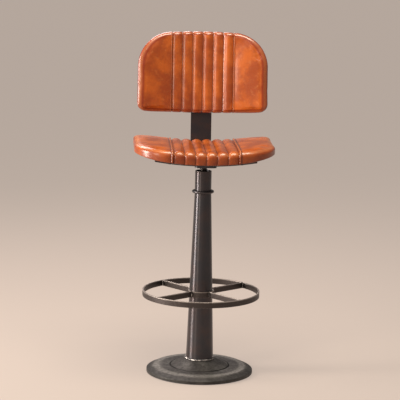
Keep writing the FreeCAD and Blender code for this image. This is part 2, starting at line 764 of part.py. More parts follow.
def make_back_stem():
    """One flat bar bent up behind the seat, which carries the back."""
    body = new_body("back_stem")
    lean = math.radians(size.recline.value)
    sine, cosine, slope = math.sin(lean), math.cos(lean), math.tan(lean)
    front_y = back_place + size.rear_panel_thickness * cosine
    front_z = back_height - size.rear_panel_thickness * sine
    top_y = front_y + size.stem_upright * sine
    top_z = front_z + size.stem_upright * cosine
    inner_y = front_y - (front_z - bar_bottom) * slope
    step_y = size.stem_thickness / cosine
    outer_y = inner_y + step_y - size.stem_thickness * slope
    sketch = new_sketch(body, "bar_outline", "YZ_Plane")
    draw_outline(sketch, [
        (-size.stem_front_reach, stem_bottom),
        (outer_y, stem_bottom),
        (top_y + size.stem_thickness * cosine, top_z - size.stem_thickness * sine),
        (top_y, top_z),
        (inner_y, bar_bottom),
        (-size.stem_front_reach, bar_bottom),
    ])
    bar = pad(body, "bar", sketch, size.stem_width, symmetric=True)
    inner = round_edges(body, "inner_bend", bar, lambda edge: at_point(edge, inner_y, bar_bottom),
                        size.stem_bend_radius)
    outer = round_edges(body, "outer_bend", inner, lambda edge: at_point(edge, outer_y, stem_bottom),
                        size.stem_bend_radius + size.stem_thickness)
    round_edges(body, "end_corners", outer, lambda edge: is_end_corner(edge, top_z),
                size.stem_corner)
    holes = new_sketch(body, "flange_holes_outline", "XY_Plane", stem_bottom)
    for x, y in flange_bolt_places():
        draw_circle(holes, x, y, size.flange_bolt_radius + size.clearance)
    pocket_through(body, "flange_holes", holes, size.stem_thickness * 4)
    spot = Vector(0, back_height.value, -back_place.value)
    back_holes = new_tilted_sketch(body, "back_holes_outline", "XZ_Plane", spot,
                                   Rotation(Vector(1, 0, 0), -size.recline.value))
    for x, y in back_bolt_places():
        draw_circle(back_holes, x, y, size.panel_bolt_hole_radius)
    pocket_through(body, "back_holes", back_holes, size.stem_thickness * 6)
    return body


def at_point(edge, y, z):
    """True for an edge across the chair that passes the point."""
    start, end = edge.Vertexes[0].Point, edge.Vertexes[-1].Point
    fine = size.clearance.value
    near = abs(start.y - y.value) < fine and abs(start.z - z.value) < fine
    return near and abs(start.x - end.x) > size.stem_width.value / 2


def is_end_corner(edge, top_z):
    """True for the short edges through the bar's thickness at its two ends."""
    start, end = edge.Vertexes[0].Point, edge.Vertexes[-1].Point
    fine = size.clearance.value
    through = abs(start.x - end.x) < fine and abs(edge.Length - size.stem_thickness.value) < fine
    at_front = abs(start.y + size.stem_front_reach.value) < fine
    at_top = max(start.z, end.z) > top_z.value - fine
    return through and (at_front or at_top)


def back_bolt_places():
    """Places of the back bolts, across and above the back's lower edge."""
    across = size.back_bolt_across / 2
    return [(across * side, height) for side in (-1, 1)
            for height in (size.back_bolt_low, size.back_bolt_high)]


class Cushion:
    """A dished, channelled cushion in flat coordinates: across, along and up.

    Along runs from the foot edge to the head edge, which has the large corners.
    Up is measured from the board's outer face, in the middle of the cushion.
    """

    def __init__(self, prefix):
        def read(name):
            return sheet.get(f"{prefix}_{name}")
        self.width = read("width")
        self.length = read("length")
        self.head_corner = read("head_corner")
        self.foot_corner = read("foot_corner")
        self.head_bow = read("head_bow")
        self.foot_bow = read("foot_bow")
        self.draw = read("draw")
        self.dish = read("dish_radius")
        self.top_radius = read("top_radius")
        self.thickness = read("thickness")
        self.head_round = read("head_round")
        self.foot_round = read("foot_round")
        self.head_pitch = read("head_pitch")
        self.foot_pitch = read("foot_pitch")
        self.over = sheet.get("overrun")
        self.depth = sheet.get("channel_depth")
        self.valley = self.thickness - self.depth

    def radius_at(self, level):
        """Radius of the surface at a level: even in the board, flatter in the padding."""
        board = sheet.get("board_thickness")
        if level <= board:
            return self.dish - level
        share = min(1, (level - board) / (self.thickness - board))
        return 1 / ((1 - share) / (self.dish - board) + share / self.top_radius)

    def bend(self, across, along, up):
        """Lifts a flat point onto the dish."""
        radius = self.radius_at(up)
        return Vector(across, along, up + radius - math.sqrt(radius ** 2 - across ** 2))

    def outline(self, inset):
        """The cushion's outline, drawn in by an inset and run through all its layers."""
        half = self.width / 2 - inset
        foot = inset
        head = self.length - inset
        middle = (foot + head) / 2
        foot_left = Vector(-half, foot + self.foot_bow, 0)
        foot_right = Vector(half, foot + self.foot_bow, 0)
        head_left = Vector(-half, head - self.head_bow, 0)
        head_right = Vector(half, head - self.head_bow, 0)
        edges = [
            Part.Arc(foot_left, Vector(0, foot, 0), foot_right).toShape(),
            Part.Arc(foot_right, Vector(half - self.draw, middle, 0), head_right).toShape(),
            Part.Arc(head_right, Vector(0, head, 0), head_left).toShape(),
            Part.Arc(head_left, Vector(self.draw - half, middle, 0), foot_left).toShape(),
        ]
        face = Part.Face(Part.Wire(edges))
        face.translate(Vector(0, 0, -self.over))
        prism = face.extrude(Vector(0, 0, self.width / 2))
        heads = [edge for edge in self.upright(prism) if edge.Vertexes[0].Y > middle]
        prism = prism.makeFillet(self.head_corner - inset, heads)
        feet = [edge for edge in self.upright(prism) if edge.Vertexes[0].Y < self.foot_corner]
        return prism.makeFillet(max(self.foot_corner - inset, self.depth), feet)

    def upright(self, prism):
        """The edges of a prism that run through its layers."""
        return [edge for edge in prism.Edges
                if abs(edge.Vertexes[0].Z - edge.Vertexes[-1].Z) > self.over]

    def slab(self, low, high):
        """A sheet of the dish between two levels, larger than the outline."""
        reach = self.width / 2 + self.over

        def spot(level, across):
            return self.bend(across, -self.over, level)

        edges = [
            Part.Arc(spot(low, -reach), spot(low, 0), spot(low, reach)).toShape(),
            Part.LineSegment(spot(low, reach), spot(high, reach)).toShape(),
            Part.Arc(spot(high, reach), spot(high, 0), spot(high, -reach)).toShape(),
            Part.LineSegment(spot(high, -reach), spot(low, -reach)).toShape(),
        ]
        face = Part.Face(Part.Wire(edges))
        return face.extrude(Vector(0, self.length + 2 * self.over, 0))

    def layer(self, low, high, inset):
        """One flat-edged layer of the cushion."""
        return self.slab(low, high).common(self.outline(inset))

    def rounded(self, high, inset, radius):
        """The cushion's block up to a level, with its upper edge rounded."""
        block = self.layer(0, high, inset)
        fine = sheet.get("clearance")
        top = [face for face in block.Faces if isinstance(face.Surface, Part.Cylinder)
               and abs(face.Surface.Radius - self.radius_at(high)) < fine][0]
        return block.makeFillet(radius, top.OuterWire.Edges)

    def edge_line(self, across, head):
        """Where the outline's head or foot edge lies, at a distance from the middle."""
        share = (across / (self.width / 2)) ** 2
        if head:
            return self.length - self.head_bow * share
        return self.foot_bow * share

    def channel(self, number):
        """One padded channel, wrapped over both edges, as a ruled loft through arcs."""
        sections = []
        lap = sheet.get("channel_lap")
        root = sheet.get("channel_root")
        draft = sheet.get("channel_draft")
        crown = sheet.get("channel_crown")
        start = sheet.get("channel_start")
        bottom = self.depth + root
        offset = number - (CHANNELS - 1) / 2
        for along_share, level_share, turn in self.channel_path():
            pitch = self.foot_pitch + (self.head_pitch - self.foot_pitch) * along_share
            centre = pitch * offset
            head = along_share > 0.5
            edge = self.edge_line(centre, head)
            round_radius = self.head_round if head else self.foot_round
            sign = 1 if head else -1
            if level_share is None:
                along = (self.edge_line(centre, True) + self.edge_line(centre, False)) / 2
                up = self.thickness + crown
            elif level_share == 0:
                along, up = edge, start
            else:
                inward = round_radius * (1 - math.cos(math.radians(turn)))
                along = edge - sign * inward
                up = self.thickness - round_radius * (1 - math.sin(math.radians(turn)))
            lean = math.radians(turn)
            angle = math.asin(centre / self.radius_at(self.thickness))
            across = Vector(math.cos(angle), 0, math.sin(angle))
            outward = Vector(0, sign * math.cos(lean), 0)
            outward += Vector(-math.sin(angle), 0, math.cos(angle)) * math.sin(lean)
            crest = self.bend(centre, along, up)
            half = (pitch + lap) / 2 / math.cos(angle)

            def spot(side, sunk, drawn_in=0):
                return crest + across * (side * (half - drawn_in)) - outward * sunk

            edges = [
                Part.Arc(spot(-1, self.depth), spot(0, 0), spot(1, self.depth)).toShape(),
                Part.LineSegment(spot(1, self.depth), spot(1, bottom, draft)).toShape(),
                Part.LineSegment(spot(1, bottom, draft), spot(-1, bottom, draft)).toShape(),
                Part.LineSegment(spot(-1, bottom, draft), spot(-1, self.depth)).toShape(),
            ]
            sections.append(Part.Wire(edges))
        return Part.makeLoft(sections, True, True)

    def channel_path(self):
        """Stations along a channel: share of the length, level share and turn."""
        steps = [90 * step / CORNER_STEPS for step in range(CORNER_STEPS + 1)]
        foot = [(0.0, 0, 0)] + [(0.0, 1, turn) for turn in steps]
        head = [(1.0, 1, turn) for turn in reversed(steps)] + [(1.0, 0, 0)]
        return foot + [(0.5, None, 90)] + head

    def side_panel(self, block, side):
        """The plain part of the cushion outside the channels, cut from the full block."""
        quads = []
        for along, pitch in ((-self.over, self.foot_pitch),
                             (self.length + self.over, self.head_pitch)):
            seam = side * pitch * CHANNELS / 2
            outer = side * (self.width / 2 + self.over)
            low = self.bend(seam, along, -self.over)
            high = self.bend(seam, along, self.thickness + self.over)
            far_high = Vector(outer, along, self.width / 2)
            far_low = Vector(outer, along, -self.over)
            quads.append(Part.makePolygon([low, high, far_high, far_low, low]))
        return block.common(Part.makeLoft(quads, True, True))

    def outside(self):
        """The whole outside of the cushion."""
        core = self.rounded(self.valley, self.depth, self.foot_round - self.depth)
        block = self.rounded(self.thickness, 0, self.foot_round)
        sides = [self.side_panel(block, side) for side in (-1, 1)]
        channels = [self.channel(number) for number in range(CHANNELS)]
        return core.multiFuse(sides + channels)

    def cover(self, outside):
        """The leather cover with its wadding, open where the foam and board go in."""
        leather = sheet.get("leather_thickness")
        hollow = self.slab(-self.over / 2, self.valley - leather)
        return outside.cut(hollow.common(self.outline(self.depth + leather)))

    def inside(self, low, high):
        """A layer that fits inside the cover."""
        gap = sheet.get("soft_clearance")
        return self.layer(low, high, self.depth + sheet.get("leather_thickness") + gap)

    def foam(self):
        """The foam between board and leather."""
        gap = sheet.get("soft_clearance")
        top = self.valley - sheet.get("leather_thickness") - gap
        return self.inside(sheet.get("board_thickness") + gap, top)


def tee_nut():
    """Tee nut along +Z, with the top of its flange at the origin."""
    flange = Part.makeCylinder(size.tee_flange_radius.value, size.tee_flange_thickness.value,
                               Vector(0, 0, -size.tee_flange_thickness.value))
    depth = (size.board_thickness - size.tee_flange_thickness).value
    barrel = Part.makeCylinder(size.tee_barrel_radius.value, depth, Vector(0, 0, -depth))
    bore = Part.makeCylinder((size.panel_bolt_radius + size.running_clearance).value, depth,
                             Vector(0, 0, -depth))
    return flange.fuse(barrel).cut(bore)


def tee_nut_seat():
    """The hole that a tee nut sits in, run on past the board."""
    fit = size.clearance.value
    over = size.overrun.value
    drop = size.tee_flange_thickness.value
    wide = Part.makeCylinder(size.tee_flange_radius.value + fit, over + drop, Vector(0, 0, -drop))
    narrow = Part.makeCylinder(size.tee_barrel_radius.value + fit, 2 * over, Vector(0, 0, -over))
    return wide.fuse(narrow)


def panel_bolt(grip):
    """Round-headed bolt along +Z from under its head, through the grip into a tee nut."""
    head = Part.makeCylinder(size.panel_bolt_head_radius.value, size.panel_bolt_head_height.value,
                             Vector(0, 0, -size.panel_bolt_head_height.value))
    rim = [edge for edge in head.Edges if isinstance(edge.Curve, Part.Circle)
           and edge.Curve.Center.z < 0]
    head = head.makeFillet(size.panel_bolt_head_height.value / 2, rim)
    reach = grip + (size.board_thickness - size.tee_flange_thickness).value
    return head.fuse(Part.makeCylinder(size.panel_bolt_radius.value, reach))


# The seat's flat coordinates run from its rear edge forward, the back's from
# its lower edge up.
seat_placement = Placement(
    Vector(0, seat_rear.value, seat_height.value),
    Rotation(Vector(0, 0, 1), 180))
back_placement = Placement(
    Vector(0, back_place.value, back_height.value),
    Rotation(Vector(1, 0, 0), 90 - size.recline.value))


def make_seat():
    """Seat board, foam, cover, lining and what bolts them to the cross bars."""
    cushion = Cushion("seat")
    rear = seat_rear.value
    places = []
    for side in (-1, 1):
        for along in (rear + size.front_bar_place.value, rear - size.rear_bar_place.value):
            angle = side * seat_tilt_at(size.seat_bolt_place)
            spin = Rotation(Vector(0, 1, 0), -angle)
            centre = Vector(0, along, cushion.dish)
            places.append((spin, centre))

    def on_dish(level):
        return [Placement(centre + spin.multVec(Vector(0, 0, level - cushion.dish)), spin)
                for spin, centre in places]

    board = cushion.inside(0, size.board_thickness.value)
    lining = cushion.layer(-size.lining_thickness.value, 0, size.lining_inset.value)
    seats = copies_at(tee_nut_seat(), on_dish(size.board_thickness.value))
    hole = Part.makeCylinder(size.panel_bolt_hole_radius.value, 2 * size.overrun.value,
                             Vector(0, 0, -size.overrun.value))
    under = -(size.lining_thickness + size.cross_bar_thickness).value
    bolt = panel_bolt(-under)
    feature_from("seat_board", board.cut(seats), seat_placement)
    feature_from("seat_lining", lining.cut(copies_at(hole, on_dish(0))), seat_placement)
    feature_from("seat_foam", cushion.foam(), seat_placement)
    feature_from("seat_cover", cushion.cover(cushion.outside()), seat_placement)
    feature_from("seat_tee_nuts", copies_at(tee_nut(), on_dish(size.board_thickness.value)),
                 seat_placement)
    feature_from("seat_bolts", copies_at(bolt, on_dish(under)), seat_placement)


def make_back():
    """Back board, foam, cover, rear panel and what bolts them to the stem."""
    cushion = Cushion("back")
    places = [(x.value, y.value) for x, y in back_bolt_places()]

    def at_level(level):
        return [Placement(Vector(x, y, level), Rotation()) for x, y in places]

    board = cushion.inside(0, size.board_thickness.value)
    panel = cushion.layer(-size.rear_panel_thickness.value, 0, size.rear_panel_inset.value)
    hole = Part.makeCylinder(size.panel_bolt_hole_radius.value, 2 * size.overrun.value,
                             Vector(0, 0, -size.overrun.value))
    under = -(size.rear_panel_thickness + size.stem_thickness).value
    feature_from("back_board", board.cut(copies_at(tee_nut_seat(), at_level(
        size.board_thickness.value))), back_placement)
    feature_from("back_rear_panel", panel.cut(copies_at(hole, at_level(0))), back_placement)
    feature_from("back_foam", cushion.foam(), back_placement)
    feature_from("back_cover", cushion.cover(cushion.outside()), back_placement)
    feature_from("back_tee_nuts", copies_at(tee_nut(), at_level(size.board_thickness.value)),
                 back_placement)
    feature_from("back_bolts", copies_at(panel_bolt(-under), at_level(under)), back_placement)


def build():
    """Makes every piece."""
    make_base_casting()
    make_floor_ring()
    make_base_hub()
    make_base_bolts()
    make_foot_weld()
    make_column()
    make_column_ring()
    make_column_sleeve()
    make_spindle_nut()
    make_footrest_band()
    make_footrest_hoop()
    for number in range(SPOKES):
        make_spoke(number)
    make_stop_washer()
    make_spindle()
    make_stop_nut()
    make_spindle_flange()
    make_flange_bolts()
    make_cross_bar("cross_bar_front", -size.front_bar_place)
    make_cross_bar("cross_bar_rear", size.rear_bar_place)
    make_back_stem()
    make_seat()
    make_back()


def check_and_write():
    """Checks every object and writes each piece to its own file."""
    document.recompute()
    for item in document.Objects:
        if "Invalid" in item.State or "Error" in item.State:
            raise RuntimeError(f"{item.Label} failed: {item.State}")
    os.makedirs("parts", exist_ok=True)
    pieces = [item for item in document.Objects
              if item.isDerivedFrom("PartDesign::Body") or item.TypeId in ("Part::Feature", "Part::Torus")]
    for piece in pieces:
        shape = piece.Shape
        if shape.isNull() or not shape.isValid():
            raise RuntimeError(f"{piece.Label} has no valid shape")
        print(f"{piece.Label}: {len(shape.Solids)} solid(s), {shape.Volume / 1000:.1f} cm3")
        shape.exportStep(os.path.join("parts", piece.Label + ".step"))


build()
check_and_write()
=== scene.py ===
import json
import math
import random
from typing import NamedTuple

import bpy
from bpy.props import FloatProperty, FloatVectorProperty, IntProperty, PointerProperty
from mathutils import Matrix, Vector, noise
from mathutils.bvhtree import BVHTree

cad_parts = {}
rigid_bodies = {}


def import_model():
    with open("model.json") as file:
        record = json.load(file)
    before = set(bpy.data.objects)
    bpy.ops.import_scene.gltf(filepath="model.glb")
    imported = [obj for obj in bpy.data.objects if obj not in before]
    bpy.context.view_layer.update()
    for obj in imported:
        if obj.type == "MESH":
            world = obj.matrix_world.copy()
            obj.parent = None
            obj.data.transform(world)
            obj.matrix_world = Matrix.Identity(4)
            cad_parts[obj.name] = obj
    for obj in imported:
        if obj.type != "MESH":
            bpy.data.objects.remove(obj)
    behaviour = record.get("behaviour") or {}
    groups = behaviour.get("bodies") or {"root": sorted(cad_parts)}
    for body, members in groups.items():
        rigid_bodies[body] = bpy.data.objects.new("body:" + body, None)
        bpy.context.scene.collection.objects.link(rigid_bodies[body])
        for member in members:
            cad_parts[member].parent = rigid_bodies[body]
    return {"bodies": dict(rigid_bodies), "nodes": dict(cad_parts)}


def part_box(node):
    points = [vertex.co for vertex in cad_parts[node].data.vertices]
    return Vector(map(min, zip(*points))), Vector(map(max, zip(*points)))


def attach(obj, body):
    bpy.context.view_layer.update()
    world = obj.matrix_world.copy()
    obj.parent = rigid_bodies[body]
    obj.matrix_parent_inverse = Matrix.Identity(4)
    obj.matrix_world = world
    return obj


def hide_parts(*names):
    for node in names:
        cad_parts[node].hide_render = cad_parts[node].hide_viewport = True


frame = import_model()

bl_info = {
    "name": "Bar Chair",
    "version": (1, 0, 0),
    "blender": (4, 5, 0),
    "location": "View3D > Sidebar > Bar Chair",
    "description": "Dresses a bar chair with a footrest hoop and channelled leather cushions",
    "category": "Object",
}

MM = 0.001
UPWARD = Vector((0, 0, 1))


def linear(code):
    """An sRGB hex colour as linear red, green, blue and alpha."""
    channels = [int(code[place:place + 2], 16) / 255 for place in (1, 3, 5)]
    return tuple(c / 12.92 if c <= 0.04045 else ((c + 0.055) / 1.055) ** 2.4
                 for c in channels) + (1.0,)


def colour(name, code, description):
    """A colour that a user can change."""
    return FloatVectorProperty(name=name, description=description, default=linear(code),
                               size=4, subtype="COLOR", min=0, max=1)


def length(name, millimetres, description):
    """A length that a user can change, stored in metres."""
    return FloatProperty(name=name, description=description, default=millimetres * MM,
                         unit="LENGTH", precision=5, min=0)


def angle(name, degrees, description):
    """An angle that a user can change."""
    return FloatProperty(name=name, description=description, default=math.radians(degrees),
                         subtype="ANGLE")


def portion(name, value, description):
    """A share of one that a user can change."""
    return FloatProperty(name=name, description=description, default=value, min=0, max=1)


# The head edge has the large corners: it is the seat's front and the back's top.
CUSHION_FIELDS = (
    (length, "width", "Width", "Width of the cushion"),
    (length, "length", "Length", "From the foot edge to the head edge"),
    (length, "head_corner", "Head corner", "Corner radius at the head edge"),
    (length, "foot_corner", "Foot corner", "Corner radius at the foot edge"),
    (length, "head_bow", "Head bow", "Bow of the head edge"),
    (length, "foot_bow", "Foot bow", "Bow of the foot edge"),
    (length, "draw", "Draw", "How far the sides are drawn in between their corners"),
    (length, "dish_radius", "Dish radius", "Radius of the hollow, on the board's outer side"),
    (length, "top_radius", "Top radius", "Radius of the hollow, at the channel tops"),
    (length, "thickness", "Thickness", "From the board's outer side to the channel tops"),
    (length, "head_round", "Head rounding", "Rounding of the head edge"),
    (length, "foot_round", "Foot rounding", "Rounding of the foot edge"),
    (length, "side_round", "Side rounding", "Width of the rounding along the sides"),
    (length, "head_pitch", "Head pitch", "Channel pitch at the head edge"),
    (length, "foot_pitch", "Foot pitch", "Channel pitch at the foot edge"),
    (length, "depth", "Channel depth", "Depth of the seams between the channels"),
    (length, "welt", "Welt", "Width of the raised seam beside the outer channels"),
    (length, "welt_rise", "Welt rise", "Height of the raised seam"),
    (portion, "edge_share", "Seams on the edges", "Depth of the seams on the edges"),
    # The darkening of the rounded edges is painted shade, set per cushion.
    (portion, "edge_dye", "Dye on the edges", "How dark the rounded edges are dyed"),
)


def cushion_fields(**values):
    """The properties that both cushions have, with the values of one of them."""
    return {field: kind(label, values[field], description)
            for kind, field, label, description in CUSHION_FIELDS}


class SeatSizes(bpy.types.PropertyGroup):
    """Sizes of the seat cushion."""
    __annotations__ = cushion_fields(
        width=474, length=357, thickness=44, head_corner=125, foot_corner=28, head_bow=16,
        foot_bow=3, draw=1, dish_radius=1050, top_radius=1900, head_round=23, foot_round=20,
        side_round=30, head_pitch=35.8, foot_pitch=35.2, depth=8, welt=8.5, welt_rise=1.1,
        edge_share=0.6, edge_dye=0.2)


class BackSizes(bpy.types.PropertyGroup):
    """Sizes and place of the back cushion."""
    __annotations__ = cushion_fields(
        width=452, length=282, thickness=43, head_corner=122, foot_corner=28, head_bow=14,
        foot_bow=6, draw=2, dish_radius=640, top_radius=596, head_round=16, foot_round=14,
        side_round=27, head_pitch=35.2, foot_pitch=35.2, depth=7.2, welt=4.5, welt_rise=0.4,
        edge_share=0.35, edge_dye=1) | {
            "place_y": length("Place", 222, "Distance of the board behind the column's axis"),
            "place_z": length("Height of the foot", 870, "Height of the board's lower edge"),
            "recline": angle("Recline", 5.5, "Backward lean of the back")}


class ChannelSizes(bpy.types.PropertyGroup):
    """Sizes of the padded channels and of the sewing."""
    count: IntProperty(name="Channels", description="Number of padded channels", default=6, min=2)
    crown: length("Crown", 2, "Rise of the channels towards the middle")
    pillow: length("Pillow", 2.5, "Rise of the plain side panels")
    stitch: length("Stitch", 4.2, "Spacing of the stitches")
    thread: length("Thread", 0.42, "Radius of the thread")
    swell: length("Swell", 1.6, "Most that a point of the leather may move when stuffed")


class LeatherLook(bpy.types.PropertyGroup):
    """Colours of the tan hide."""
    body: colour("Body", "#BC5C18", "Colour over most of the hide")
    deep: colour("Deep", "#984212", "Colour where the wax has gathered")
    # Painted shade: the colour laid over the rounded edges and down the upright sides.
    rim_shade: colour("Edge", "#82260E", "Colour of the dye on the rounded edges")
    seam: colour("Seam", "#64280F", "Colour down in the seams")
    # Pale rubbed hide, also used as a painted highlight on the ridges of the rounded edges.
    rubbed_and_highlight: colour("Rubbed", "#D28646", "Colour where the hide is rubbed or stretched")
    thread: colour("Thread", "#C08A5A", "Colour of the waxed thread")


class MetalLook(bpy.types.PropertyGroup):
    """Colours of the metals."""
    blackened: colour("Blackened steel", "#48474B", "Blackened and waxed tube")
    blackened_warm: colour("Blackened steel, warm", "#534A4A", "Brown cast in the blackening")
    flat_bar: colour("Flat bar", "#4B4543", "Footrest bar")
    flat_bar_worn: colour("Worn flat bar", "#A89F99", "Where shoes have rubbed the footrest")
    iron: colour("Cast iron", "#4F4C4A", "Oiled cast iron")
    # Dark hollows of the cast skin, also used as painted shade on the bevel.
    iron_dark_and_bevel_shade: colour("Cast iron, dark", "#323130", "Hollows of the cast skin")
    iron_worn: colour("Cast iron, worn", "#9A9792", "Worn edges of the casting")
    # Painted shade in the narrow gap round the hub.
    gap_shade: colour("Grime", "#171513", "Oil and dust in the gap round the hub")
    weld: colour("Weld", "#D8D3CF", "Weld metal")


class StageLook(bpy.types.PropertyGroup):
    """Camera and light."""
    distance: length("Distance", 6000, "Camera's distance in front of the column")
    side: length("Side", 13, "Camera's distance to the side")
    height: length("Camera height", 1608, "Camera's height above the floor")
    swivel: angle("Swivel", 3.2, "How far the seat is turned from the camera")
    yaw: angle("Yaw", -0.216, "Camera turned to the side")
    pitch: angle("Pitch", 9.55, "Camera tilted down")
    roll: angle("Roll", 1.22, "Camera rolled")
    floor: colour("Floor", "#82776F", "Plain pale floor")
    floor_glow: colour("Floor to the eye", "#CDBEB3", "Paleness that the floor has to the eye")


class BarChairSettings(bpy.types.PropertyGroup):
    """Everything about the chair that a user would change."""
    seat: PointerProperty(type=SeatSizes)
    back: PointerProperty(type=BackSizes)
    channels: PointerProperty(type=ChannelSizes)
    leather: PointerProperty(type=LeatherLook)
    metal: PointerProperty(type=MetalLook)
    stage: PointerProperty(type=StageLook)


def settings():
    """The chair's settings in the open scene."""
    return bpy.context.scene.bar_chair


def add_node(tree, kind, options=None, inputs=None):
    """Adds a node, sets its options, and sets or links its inputs."""
    node = tree.nodes.new("ShaderNode" + kind)
    for name, value in (options or {}).items():
        setattr(node, name, value)
    for name, value in (inputs or {}).items():
        feed(tree, node.inputs[name], value)
    return node


def feed(tree, socket, value):
    """Sets a socket or links it to another."""
    if isinstance(value, bpy.types.NodeSocket):
        tree.links.new(value, socket)
    else:
        socket.default_value = value


class Finish:
    """A material in the making: its node tree, its shader and the steps towards it."""

    def __init__(self, name):
        self.material = bpy.data.materials.new(name)
        self.material.use_nodes = True
        self.tree = self.material.node_tree
        self.tree.nodes.clear()
        self.shader = self.node("BsdfPrincipled")
        self.node("OutputMaterial", inputs={"Surface": self.shader.outputs["BSDF"]})

    def node(self, kind, options=None, inputs=None):
        """A node in this material's tree."""
        return add_node(self.tree, kind, options, inputs)

    def done(self, **inputs):
        """The material, with inputs of its shader, their names written with underscores."""
        for name, value in inputs.items():
            feed(self.tree, self.shader.inputs[name.replace("_", " ")], value)
        return self.material

    def place(self):
        """Texture coordinates in metres, fixed to the piece."""
        return self.node("TexCoord").outputs["Object"]

    def stretched(self, *scale):
        """The piece's coordinates, drawn out where the scale is small."""
        return self.node("Mapping", inputs={
            "Vector": self.place(), "Scale": scale}).outputs["Vector"]

    def stored(self, name, output="Fac"):
        """What the mesh stores for each point under a name."""
        return self.node("Attribute", {"attribute_name": name}).outputs[output]

    def grain(self, place, size, detail=3.0, roughness=0.55):
        """Noise whose patches are about the given size in metres."""
        return self.node("TexNoise", inputs={"Vector": place, "Scale": 1 / size, "Detail": detail,
                                             "Roughness": roughness}).outputs[0]

    def cells(self, feature, place, size, **inputs):
        """Distance from the middles of cells of the given size in metres."""
        return self.node("TexVoronoi", {"feature": feature}, {
            "Vector": place, "Scale": 1 / size, **inputs}).outputs["Distance"]

    def bands(self, direction, place, scale, distortion=0.0):
        """Waves along one direction."""
        return self.node("TexWave", {"bands_direction": direction}, {
            "Vector": place, "Scale": scale, "Distortion": distortion}).outputs["Fac"]

    def ramp(self, value, low, high, low_result=0.0, high_result=1.0):
        """A value between two limits, turned smoothly to a result."""
        return self.node("MapRange", {"interpolation_type": "SMOOTHSTEP"}, {
            "Value": value, "From Min": low, "From Max": high,
            "To Min": low_result, "To Max": high_result}).outputs[0]

    def blend(self, share, first, second):
        """Mixes two colours."""
        first_colour, second_colour, mixed_colour = 6, 7, 2
        return self.node("Mix", {"data_type": "RGBA"}, {
            "Factor": share, first_colour: first, second_colour: second}).outputs[mixed_colour]

    def layer(self, tone, over, value, low, high, most=1.0):
        """Lays a colour over a tone, up to a share, where a value runs from low to high."""
        return self.blend(self.ramp(value, low, high, 0.0, most), tone, over)

    def arithmetic(self, operation, first, second=0.0):
        """One step of arithmetic on two numbers."""
        return self.node("Math", {"operation": operation}, {0: first, 1: second}).outputs[0]

    def apart(self, value, middle):
        """How far a value is from a middle, either way."""
        return self.arithmetic("ABSOLUTE", self.arithmetic("SUBTRACT", value, middle))

    def bump(self, height, depth, normal=None):
        """A bump of a depth in metres, on top of another if that is given."""
        below = {} if normal is None else {"Normal": normal}
        return self.node("Bump", inputs={
            "Height": height, "Distance": depth, "Strength": 1.0, **below}).outputs["Normal"]

    def edge_wear(self, radius):
        """One on the sharp edges of a piece, nought on its flats."""
        rounded = self.node("Bevel", {"samples": 6}, {"Radius": radius}).outputs["Normal"]
        flat = self.node("NewGeometry").outputs["Normal"]
        likeness = self.node("VectorMath", {"operation": "DOT_PRODUCT"},
                             {0: rounded, 1: flat}).outputs["Value"]
        return self.ramp(likeness, 0.995, 0.9)


def tan_leather():
    """Tan hide, waxed and polished: deep where wax gathered, pale where it is rubbed, with a
    painted highlight on the ridges of the rounded edges and painted shade on the rounded edges.
    """
    look = settings().leather
    hide = Finish("tan_leather")
    place = hide.stored("hide_place", "Vector")
    rim_shade = hide.stored("rim_shade")
    cloud = hide.grain(place, 60 * MM, 4.0)
    mottle = hide.grain(place, 14 * MM, 6.0, 0.65)
    creases = hide.grain(place, 5 * MM, 5.0, 0.6)
    # Pores of hide are about 0.3 mm apart; drawn at 1.1 mm so that they show.
    pores = hide.cells("SMOOTH_F1", place, 1.1 * MM, Smoothness=0.6)
    tone = hide.layer(look.deep, look.body, cloud, 0.38, 0.66)
    tone = hide.layer(tone, look.rubbed_and_highlight, mottle, 0.52, 0.8, 0.45)
    tone = hide.layer(tone, look.deep, mottle, 0.46, 0.2, 0.35)
    # Painted shade on the rounded edges, strongest down the upright sides.
    tone = hide.layer(tone, look.rim_shade, rim_shade, 0.03, 0.42, 0.95)
    # Partly paling of stretched hide, partly painted highlight on the ridges of the rounded edges.
    tone = hide.layer(tone, look.rubbed_and_highlight, hide.stored("ridge"), 0.3, 1.0, 0.3)
    tone = hide.layer(tone, look.seam, hide.stored("seam"), 0.25, 1.0, 0.92)
    return hide.done(
        Base_Color=tone, Roughness=hide.ramp(mottle, 0.3, 0.75, 0.3, 0.42), IOR=1.5,
        Normal=hide.bump(creases, 0.05 * MM, hide.bump(pores, 0.03 * MM)),
        Coat_Weight=hide.ramp(rim_shade, 0.3, 1.0, 0.4, 0.9), Coat_Roughness=0.2)


def waxed_thread():
    """Waxed linen thread, twisted: dull with small ridges along each stitch."""
    look = settings().leather
    thread = Finish("waxed_linen_thread")
    fibre = thread.grain(thread.place(), 0.6 * MM)
    return thread.done(Base_Color=thread.blend(fibre, look.seam, look.thread), Roughness=0.6,
                       Normal=thread.bump(fibre, 0.1 * MM))


def brushed_steel(name):
    """Steel, blackened, brushed and waxed: dark with a soft brown cast."""
    look = settings().metal
    steel = Finish(name)
    # Brushing runs up the tube, so the pattern is drawn out along Z.
    brushing = steel.grain(steel.stretched(1.0, 1.0, 0.06), 0.9 * MM, 4.0, 0.6)
    cast = steel.grain(steel.place(), 45 * MM, 4.0)
    worn = steel.arithmetic("MULTIPLY", steel.edge_wear(0.8 * MM), 0.45)
    tone = steel.layer(look.blackened, look.blackened_warm, cast, 0.35, 0.7)
    rough = steel.node("MapRange", inputs={"Value": brushing, "To Min": 0.24, "To Max": 0.4})
    steel.done(Base_Color=steel.blend(worn, tone, look.flat_bar_worn), Metallic=0.7,
               Roughness=rough.outputs[0], Normal=steel.bump(brushing, 0.006 * MM))
    return steel


def blackened_steel():
    """The brushed steel of the bars: an even, soft shine."""
    return brushed_steel("blackened_steel").material


def blackened_tube():
    """The same steel, polished round and round, so that light stands in upright bands."""
    steel = brushed_steel("blackened_steel_tube")
    around = steel.node("Tangent", {"direction_type": "RADIAL", "axis": "Z"}).outputs[0]
    return steel.done(Anisotropic=0.85, Anisotropic_Rotation=0.25, Tangent=around)


